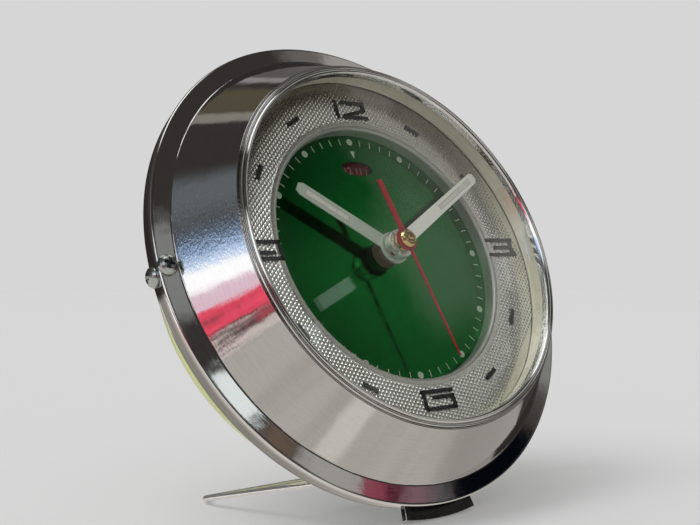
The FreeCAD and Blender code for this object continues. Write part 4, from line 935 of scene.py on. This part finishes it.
def blade(root_w, tip_w, length, low):
    """A flat blade with cut tip corners."""
    right = [(root_w / 2, 2.0), (tip_w / 2, length - 0.35 * tip_w), (tip_w * 0.3, length)]
    left = [(-x, y) for x, y in right[::-1]]
    return soften(slab(right + left, low, low + 0.3), 0.05, segments=2)


def notched_circle(radius, depth, width, at_angle):
    """A circle's outline with one square notch."""
    half = math.asin(width / 2 / radius)
    turn = math.radians(at_angle)
    sweep = [turn + half + step * (math.tau - 2 * half) / 90 for step in range(91)]
    points = [Vector((radius * math.cos(a), radius * math.sin(a))) for a in sweep]
    floor = [Matrix.Rotation(turn, 2) @ Vector((radius - depth, y)) for y in (-width / 2, width / 2)]
    return points + floor


def strip(width, start, end, low, high):
    return soften(box(-width / 2, width / 2, start, end, low, high), 0.03, segments=2)

# %% [markdown]
# ## Hour and minute hands
#
# The two hands are flat blades with cut tips. A strip of old glow paint runs down the outer half of
# each, in a shallow slot. The slot is a strip too, wider than the paint. Its darker colour is painted
# shade, which gives the paint a thin dark outline. The hour hand takes the darker copy of the plating, a
# painted shade. Each hand is drawn at twelve o'clock and turned to the time it shows.

# %% Hour and minute hands
hour_hub = soften(spun([(2.55, 3.9), (4.2, 3.9), (4.2, 4.5), (2.55, 4.5)], steps=96), 0.08)
minute_hub = soften(holed(notched_circle(3.7, 1.1, 1.3, 222.0), 1.9, 5.2, 7.5), 0.12)
slot_margin = 0.3
slot_rise, lume_rise = 0.115, 0.135
hands = [
    ("hour", 303.7, blade(3.9, 3.7, 30.0, 3.9), hour_plating_shaded, hour_hub, hour_plating_shaded,
     1.9, 1.4, 14.3, 27.3, 4.1),
    ("minute", 60.3, blade(3.6, 3.2, 39.3, 6.9), hand_metal, minute_hub, hub_metal,
     1.5, 1.1, 20.3, 36.5, 7.1)]
for name, angle, flat, finish_on, hub, hub_finish, slot_w, lume_w, start, end, low in hands:
    slot = strip(slot_w, start - slot_margin, end + slot_margin, low, low + slot_rise)
    glow = strip(lume_w, start, end, low, low + lume_rise)
    for part, work, look, nodes in (
            ("_blade", turned_to(flat, angle), finish_on, [name + "_hand"]),
            ("_hub", hub, hub_finish, []), ("_slot", turned_to(slot, angle), slot_brown, []),
            ("_lume", turned_to(glow, angle), lume, [])):
        keep(name + part, work, look, nodes, body=name + "_group")

# %% [markdown]
# ## The second hand
#
# A thin red blade is balanced by a broad tail, and a dished brass cap is
# riveted through its collar. The cap is a spun section, down to the small
# bowl in its middle.

# %% Second hand and its cap
hand_low, hand_high = 9.2, 9.5
needle = slab([(0.55, 0), (0.25, 31.4), (-0.25, 31.4), (-0.55, 0)], hand_low, hand_high)
tail = box(-0.85, 0.85, -16.6, 0, hand_low, hand_high)
for work in (needle, tail):
    soften(work, 0.06, segments=2)
collar = spun([(1.4, hand_low), (3.1, hand_low), (3.1, hand_high), (1.4, hand_high)], steps=64)
soften(collar, 0.06)
keep("second_blade", turned_to(gathered(needle, tail, collar), 169.6), red, ["second_hand"],
     body="seconds_group")
cap = spun([
    (0.6, 7.9), (2.6, 7.9), (2.6, hand_low), (1.4, hand_low), (1.4, hand_high), (2.4, hand_high),
    (2.4, 10.1), (1.92, 10.76), (1.35, 10.9), (0.01, 10.2), (0.01, 9.8), (0.6, 9.8)], steps=64)
soften(cap, 0.1, sharper_than=20)
keep("second_cap", cap, cap_brass, ["second_hand_boss"], body="seconds_group")

# %% [markdown]
# ## Rim screws
#
# At nine and at three o'clock two pan screws hold the rim, one on the flange and one on the skirt. Their
# cross recess is cut by a boolean with a tapered cross, because the arms have to meet a round head. The
# recess is painted dark as shade, so its faces get a finish of their own.

# %% Rim screws
def pan_screw():
    """A pan head on a short shank, standing on z = 0, with a cross recess."""
    head = spun([(0, -1.6), (0.9, -1.6), (0.9, 0), (2.45, 0), (2.45, 0.55), (2.1, 1.2), (1.4, 1.68),
                 (0.6, 1.88), (0, 1.92)], steps=48)
    soften(head, 0.1, sharper_than=12)
    arms = []
    for angle in (24, 114):
        arm = box(-1.55, 1.55, -0.42, 0.42, 0.8, 2.4)
        for corner in arm.verts:
            if corner.co.z < 1.0:
                corner.co.x *= 0.5
        arms.append(turned_to(arm, angle))
    tool = shown("cross", stored("cross", gathered(*arms)))
    blank = shown("blank", stored("blank", head))
    cut = blank.modifiers.new("recess", "BOOLEAN")
    cut.operation, cut.solver, cut.object, cut.use_self = "DIFFERENCE", "EXACT", tool, True
    bpy.context.view_layer.update()
    result = blank.evaluated_get(bpy.context.evaluated_depsgraph_get())
    work = absorb(bmesh.new(), bpy.data.meshes.new_from_object(result))
    for face in work.faces:
        spot = face.calc_center_median()
        in_recess = spot.xy.length < 1.7 and spot.z > 0.7 and (face.normal.z < 0.4 or spot.z < 0.95)
        face.material_index = int(in_recess)
    for item in (tool, blank):
        mesh = item.data
        bpy.data.objects.remove(item)
        bpy.data.meshes.remove(mesh)
    return work


def seat(work, at, out):
    """Stands a piece on a place, along a direction."""
    turn = Vector((0, 0, 1)).rotation_difference(Vector(out)).to_matrix()
    bmesh.ops.rotate(work, verts=work.verts, matrix=turn)
    bmesh.ops.translate(work, verts=work.verts, vec=at)
    return work


on_flange = ((60.75, 0, -3.3), (0.164, 0, 0.986))
on_skirt = ((62.63, 0, -6.6), (0.988, 0, -0.155))
skirt_screw_turn = -1.3
screws = []
for side in (0, 180):
    screws.append(turned_to(seat(pan_screw(), *on_flange), side))
    screws.append(turned_to(seat(pan_screw(), *on_skirt), side + skirt_screw_turn))
screws_piece = keep("cross_screws", gathered(*screws), screw_metal,
                    ["rim_screws"], smooth=30)
screws_piece.data.materials.append(recess_dirt)

# %% [markdown]
# ## The foot
#
# A short curved plate under the rim, painted near black as shade, with its standing-out edges painted
# bright as highlight and wear, and ground flat where it stands on the table. It is spun through twenty
# degrees, put on the clock and then cut off at the level of the table. The faces of its left end take
# the bright wire finish, which is a painted highlight.

# %% Foot
foot_start, foot_turn = -100, 20
foot = bmesh.new()
section = ((62.6, -6.5), (65.7, -6.5), (65.7, -8.1), (62.35, -8.1))
corners = closed_line(foot, [(r, 0, z) for r, z in section])[0]
bmesh.ops.rotate(foot, verts=corners, matrix=Matrix.Rotation(math.radians(foot_start), 3, "Z"))
bmesh.ops.spin(foot, geom=[foot.faces.new(corners)], cent=(0, 0, 0), axis=(0, 0, 1),
               angle=math.radians(foot_turn), steps=24)
clean(foot)
soften(foot, 0.16)
bmesh.ops.transform(foot, matrix=on_clock, verts=foot.verts)
bmesh.ops.bisect_plane(foot, geom=foot.verts[:] + foot.edges[:] + foot.faces[:], dist=1e-7,
                       plane_co=(0, 0, 0), plane_no=(0, 0, 1), clear_inner=True)
bmesh.ops.holes_fill(foot, edges=[e for e in foot.edges if e.is_boundary], sides=0)
foot_piece = keep("foot_plate", foot, foot_shaded_metal, ["front_foot"],
                  place=Matrix.Identity(4))
# The left end's faces take the bright wire finish: a painted highlight.
foot_piece.data.materials.append(wire_metal)
for face in foot_piece.data.polygons:
    painted_highlight_end = -0.95 < face.normal.x < -0.5
    if painted_highlight_end:
        face.material_index = 1

# %% [markdown]
# ## The wire stand
#
# One length of bright wire with four bends. A curve is the natural way to
# draw it: the bends are given by their corners and radii, the curve gets a
# round section and is made a mesh, and the stand is swung to the table.

# %% Wire stand
stand_fall = 13.818
stand_length = 42.714
hinge_r, hinge_half, hinge_z = 59.0, 28.0, -11.0
hinge = (0, -math.sqrt(hinge_r ** 2 - hinge_half ** 2), hinge_z)


def rounded_wire(points, bends, radius):
    """A round wire through corners, each rounded by its own radius."""
    curve = bpy.data.curves.new("wire", "CURVE")
    curve.dimensions = "3D"
    curve.bevel_depth, curve.bevel_resolution, curve.resolution_u = radius, 6, 10
    curve.use_fill_caps = True
    points = [Vector(point) for point in points]
    run = [(points[0], Vector(), Vector())]
    for before, corner, after, bend in zip(points, points[1:], points[2:], bends):
        came = (corner - before).normalized()
        goes = (after - corner).normalized()
        turn = came.angle(goes)
        back = bend * math.tan(turn / 2)
        pull = bend * 4 / 3 * math.tan(turn / 4)
        run.append((corner - came * back, Vector(), came * pull))
        run.append((corner + goes * back, goes * -pull, Vector()))
    run.append((points[-1], Vector(), Vector()))
    spline = curve.splines.new("BEZIER")
    spline.bezier_points.add(len(run) - 1)
    for point, (middle, left, right) in zip(spline.bezier_points, run):
        point.handle_left_type = point.handle_right_type = "FREE"
        point.co, point.handle_left, point.handle_right = middle, middle + left, middle + right
    work = from_curve(curve)
    bmesh.ops.remove_doubles(work, verts=work.verts, dist=1e-4)
    bmesh.ops.recalc_face_normals(work, faces=work.faces)
    return work


half_wire = [(-24, 0, 0), (-hinge_half, 0, 0), (-37.5, stand_length, 0)]
wire_corners = half_wire + [(-x, y, z) for x, y, z in half_wire[::-1]]
wire = rounded_wire(wire_corners, (1.2, 5.0, 5.0, 1.2), 0.7)
fall = Matrix.Rotation(-math.radians(stand_fall + 90 - lean), 3, "X")
bmesh.ops.rotate(wire, verts=wire.verts, matrix=fall)
moved(wire, wire.verts, *hinge)
keep("stand_wire_loop", wire, wire_metal, ["wire_stand"], body="stand_group", smooth=60)

# %% [markdown]
# ## Finishes of the pieces that stay as they are
#
# The movement, the keys and the knobs keep their CAD shapes and take their
# finish from the record's material slots.

# %% Finishes of the CAD pieces
finish_of_slot = {
    "chrome_shell": chrome, "polished_bezel": bezel_metal, "crystal_clear": glass,
    "ivory_plastic": ivory, "silver_ring": knurl_metal, "black_ink": ink, "green_dial": green,
    "dark_bushing": bushing_metal, "alarm_red": dark_red, "nickel_hands": hand_metal,
    "red_hand": red, "brass": brass, "steel": steel, "spring_steel": spring_blue,
    "lime_paint": lime, "nickel_fittings": nickel, "stand_wire": wire_metal}
slot_of_node = {part["node"]: part["material_slot"] for part in frame["record"]["subparts"]}
for name, node in frame["nodes"].items():
    node.data.materials.clear()
    node.data.materials.append(finish_of_slot[slot_of_node[name]])
print("finishes on", len(frame["nodes"]), "nodes")

# %% [markdown]
# ## The floor
#
# The floor is pale and fades into the background, so no horizon shows. It
# takes the shadow, which is lifted a little towards the background's tone.
# Mirrors don't see the floor: they show the table of the room below.

# %% Floor
backdrop = (0.672, 0.672, 0.672, 1)
shadow_lift = 0.25
floor_work = bmesh.new()
bmesh.ops.create_circle(floor_work, cap_ends=True, segments=96, radius=1.6)
floor = shown("floor", stored("floor", floor_work))
floor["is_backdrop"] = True
floor.visible_glossy = False
pale, tree, shader = start_material("pale_floor", Roughness=0.9, Specular_IOR_Level=0.0,
                                    Base_Color=(0.8, 0.8, 0.8, 1))
place = add(tree, "TexCoord").outputs["Object"]
far = add(tree, "VectorMath", operation="LENGTH", Vector=place)
own_tone = add(tree, "Emission", Color=backdrop, Strength=1.0)
rays = add(tree, "LightPath")
lifted = mix_shaders(times(rays.outputs["Is Camera Ray"], shadow_lift), shader, own_tone)
nothing = add(tree, "BsdfTransparent")
faded = mix_shaders(spread(far.outputs["Value"], 0.45, 1.3), lifted, nothing)
feed(faded.outputs[0], tree.nodes["Material Output"].inputs["Surface"])
floor.data.materials.append(pale)
print("floor ready")

# %% [markdown]
# ## Directions in the room
#
# Polished metal is mostly a picture of its surroundings. Walls and windows
# could be built, but only their mirror images count, so the room is painted
# by direction. Noise bends the directions a little, which makes the edges in
# a mirror as uneven as they are in real chrome, and tears some of them more.
# A card is a patch of light with soft edges in one direction.

# %% Room and its directions
world = bpy.data.worlds.new("room")
bpy.context.scene.world = world
world.use_nodes = True
tree = world.node_tree
tree.nodes.clear()


def vectors(operation, first, second=None, output=0):
    """A Vector Math node."""
    node = add(first.id_data, "VectorMath", operation=operation)
    feed(first, node.inputs[0])
    if second is not None:
        feed(second, node.inputs[1])
    return node.outputs[output]


straight = add(tree, "TexCoord").outputs["Generated"]
uneven = add(tree, "TexNoise", Scale=11, Detail=6, Roughness=0.65, Vector=straight)
bend = 0.11
shift = vectors("SUBTRACT", uneven.outputs["Color"], (0.5, 0.5, 0.5))
aim = vectors("NORMALIZE", vectors("ADD", straight, vectors("MULTIPLY", shift, (bend, bend, bend))))
tears = add(tree, "TexNoise", Scale=13, Detail=2.5, Roughness=0.55, Vector=straight)
tear_height = times(maths("SUBTRACT", tears.outputs[0], 0.5), 0.45)
torn = vectors("ADD", aim, add(tree, "CombineXYZ", Z=tear_height).outputs[0])
starts = {"crisp": straight, "soft": aim, "torn": torn}


def direction(side, up):
    """Unit vector to a place in the room: degrees right of straight front, and degrees up."""
    a, e = math.radians(side), math.radians(up)
    return Vector((math.sin(a) * math.cos(e), -math.cos(a) * math.cos(e), math.sin(e)))


def along(axis, kind="soft"):
    return vectors("DOT_PRODUCT", starts[kind], axis, output=1)


def card(below, side, up, half_w, half_h, soft, colour, tilt=0, kind="soft"):
    """Lays a soft-edged patch of light over the colour below it. Sizes are in degrees."""
    middle = direction(side, up)
    across = Vector((0, 0, 1)).cross(middle).normalized()
    turn = Matrix.Rotation(math.radians(tilt), 3, middle)
    depth = along(middle, kind)
    mask = maths("GREATER_THAN", depth, 0.05)
    for axis, half in ((across, half_w), (middle.cross(across), half_h)):
        share = maths("ABSOLUTE", maths("DIVIDE", along(turn @ axis, kind), depth))
        edge = spread(share, math.tan(math.radians(half)), math.tan(math.radians(half + soft)), 1, 0)
        mask = times(mask, edge)
    return blend_colours(mask, below, colour)


print("directions ready")

# %% [markdown]
# ## What stands in the room
#
# Below is a warm table with a tilted edge, and above it a dark room. A window
# and a bluish sky stand to the left, with a torn red thing low under them,
# and dim walls stand behind. To the right are grey walls and something black.
# A small crisp card is the pane that shows in the green of the dial.

# %% Table and cards
height = add(tree, "SeparateXYZ", Vector=aim).outputs[2]
table_edge = maths("ADD", height, times(along(direction(108, 0)), 0.153))
clouds = add(tree, "TexNoise", Scale=3.5, Detail=6, Roughness=0.6, Vector=straight)
table = blend_colours(spread(clouds.outputs[0], 0.35, 0.65), (0.54, 0.505, 0.465), (0.62, 0.59, 0.55))
table = card(table, 95, -32, 16, 12, 14, (0.42, 0.4, 0.375))
table = card(table, -16, -53, 3, 3, 4, (0.8, 0.77, 0.72))
table = card(table, -67, -7, 12, 1.8, 3.5, (1.15, 0.98, 0.95), kind="torn")
table = card(table, -124, -9, 9, 5, 5, (1.5, 1.48, 1.45))
room = blend_colours(spread(table_edge, -0.2, -0.18), table, (0.05, 0.045, 0.043))
left_and_behind = [
    (-46, 36, 12, 9, 6, (1.3, 1.3, 1.3)), (142, 12, 8, 3, 3, (0.6, 0.58, 0.55)),
    (150, 29, 10, 9, 4, (0.13, 0.125, 0.12)), (154, 40, 8, 1.6, 1.2, (0.33, 0.32, 0.31)),
    (172, 53, 6, 5, 4, (0.12, 0.105, 0.07)), (-170, 57, 2.4, 6, 0.8, (0.31, 0.3, 0.26)),
    (-103, 42, 5, 6, 10, (0.17, 0.19, 0.205)), (-84, 22, 7, 2.6, 9, (0.6, 0.86, 1.3)),
    (-80, 14.5, 9, 2.6, 4, (1.6, 1.6, 1.65)), (-77, 7.5, 10, 2.5, 3, (1.1, 0.8, 0.95))]
right_side = [
    (73, 31, 9, 9, 13, (0.3, 0.29, 0.265)), (81, 48, 4, 2.6, 1.2, (0.46, 0.44, 0.42)),
    (77, 52.4, 3, 1.5, 1.5, (0.2, 0.18, 0.17)), (18.5, 43, 3, 4.5, 2.5, (0.3, 0.31, 0.31)),
    (20.5, 27.5, 3, 2.3, 1.3, (1.1, 1.2, 1.2)), (24.5, 21.6, 3, 1.0, 1.2, (0.18, 0.13, 0.1)),
    (29, 16.2, 4, 2.2, 1.6, (0.48, 0.47, 0.45)), (52.5, 8, 6.8, 4.2, 1.5, (0.002, 0.003, 0.006)),
    (35, 12.9, 1.5, 1.6, 0.7, (0.36, 0.08, 0.12)), (37.3, 11.3, 0.9, 1.6, 0.5, (0.12, 0.02, 0.035)),
    (40, 10.3, 1.4, 1.6, 0.8, (0.28, 0.16, 0.19)), (42.8, 9.8, 0.9, 1.6, 0.8, (0.13, 0.12, 0.13)),
    (71, 15, 3, 3, 3, (0.3, 0.3, 0.3)), (77, 20, 4, 3.4, 3, (0.53, 0.52, 0.48)),
    (55, 30, 4, 5, 6, (0.42, 0.42, 0.39)), (43, 46, 7, 3, 4, (0.012, 0.012, 0.012))]
red_patch = [
    (-74, -1.9, 16, 5.8, 0.4, (0.1, 0.07, 0.07)), (-72, 1.2, 11, 3.6, 0.7, (1.3, 0.14, 0.24)),
    (-72, 2.6, 10, 0.35, 0.5, (0.75, 0.05, 0.1), 5), (-72, -0.4, 10, 0.3, 0.4, (0.62, 0.04, 0.08), -5)]
dial_pane = [(31.3, 32.5, 3.6, 0.85, 0.3, (0.95, 1.15, 1.05), 8)]
for kind, cards in (("soft", left_and_behind + right_side), ("torn", red_patch), ("crisp", dial_pane)):
    for place_and_look in cards:
        room = card(room, *place_and_look, kind=kind)
room = blend_colours(spread(height, 0.955, 0.975), room, (1.5, 1.5, 1.5))
print(len(left_and_behind + right_side + red_patch + dial_pane), "cards in the room")

# %% [markdown]
# ## What each ray meets
#
# Mirrors and glass see the room. Scattered rays meet one even light, which
# keeps the shadows clean, and the camera sees one even pale tone.

# %% Light of the room
room_light = add(tree, "Background", Color=room, Strength=1.0)
even_light = add(tree, "Background", Color=(1.0, 1.0, 1.0, 1), Strength=0.45)
seen = add(tree, "Background", Color=backdrop, Strength=1.0)
rays = add(tree, "LightPath")
mirrored = maths("MAXIMUM", rays.outputs["Is Glossy Ray"], rays.outputs["Is Transmission Ray"])
met = mix_shaders(rays.outputs["Is Camera Ray"], mix_shaders(mirrored, even_light, room_light), seen)
add(tree, "OutputWorld", Surface=met.outputs[0])
print("room ready")

# %% [markdown]
# ## Lamps
#
# Three broad lamps light the clock. The key lamp stands on the left and a
# little behind, so the shadow falls to the right, one on the left of the
# camera fills the dial, and one overhead darkens the ground under the rim.

# %% Lamps
def soft_lamp(name, side, up, strength, width):
    """A broad, even light from one direction. Mirrors don't show it."""
    data = bpy.data.lights.new(name, "SUN")
    data.energy = strength
    data.angle = math.radians(width)
    lamp = shown(name, data)
    lamp.rotation_euler = (-direction(side, up)).to_track_quat("-Z", "Y").to_euler()
    lamp.visible_glossy = False


soft_lamp("key_lamp", -112, 54, 0.85, 36)
soft_lamp("front_lamp", -50, 58, 0.3, 60)
soft_lamp("top_lamp", -100, 78, 0.32, 30)
print("lamps ready")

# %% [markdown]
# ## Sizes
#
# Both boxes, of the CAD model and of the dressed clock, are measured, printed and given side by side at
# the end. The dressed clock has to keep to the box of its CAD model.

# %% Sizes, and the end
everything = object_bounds()
print("CAD box", cad_box, "dressed box", everything)


def plain(value):
    if isinstance(value, dict):
        return {k: plain(v) for k, v in value.items()}
    if hasattr(value, "__len__"):
        return [plain(v) for v in value]
    return float(value)


{"cad": plain(cad_box), "dressed": plain(everything)}
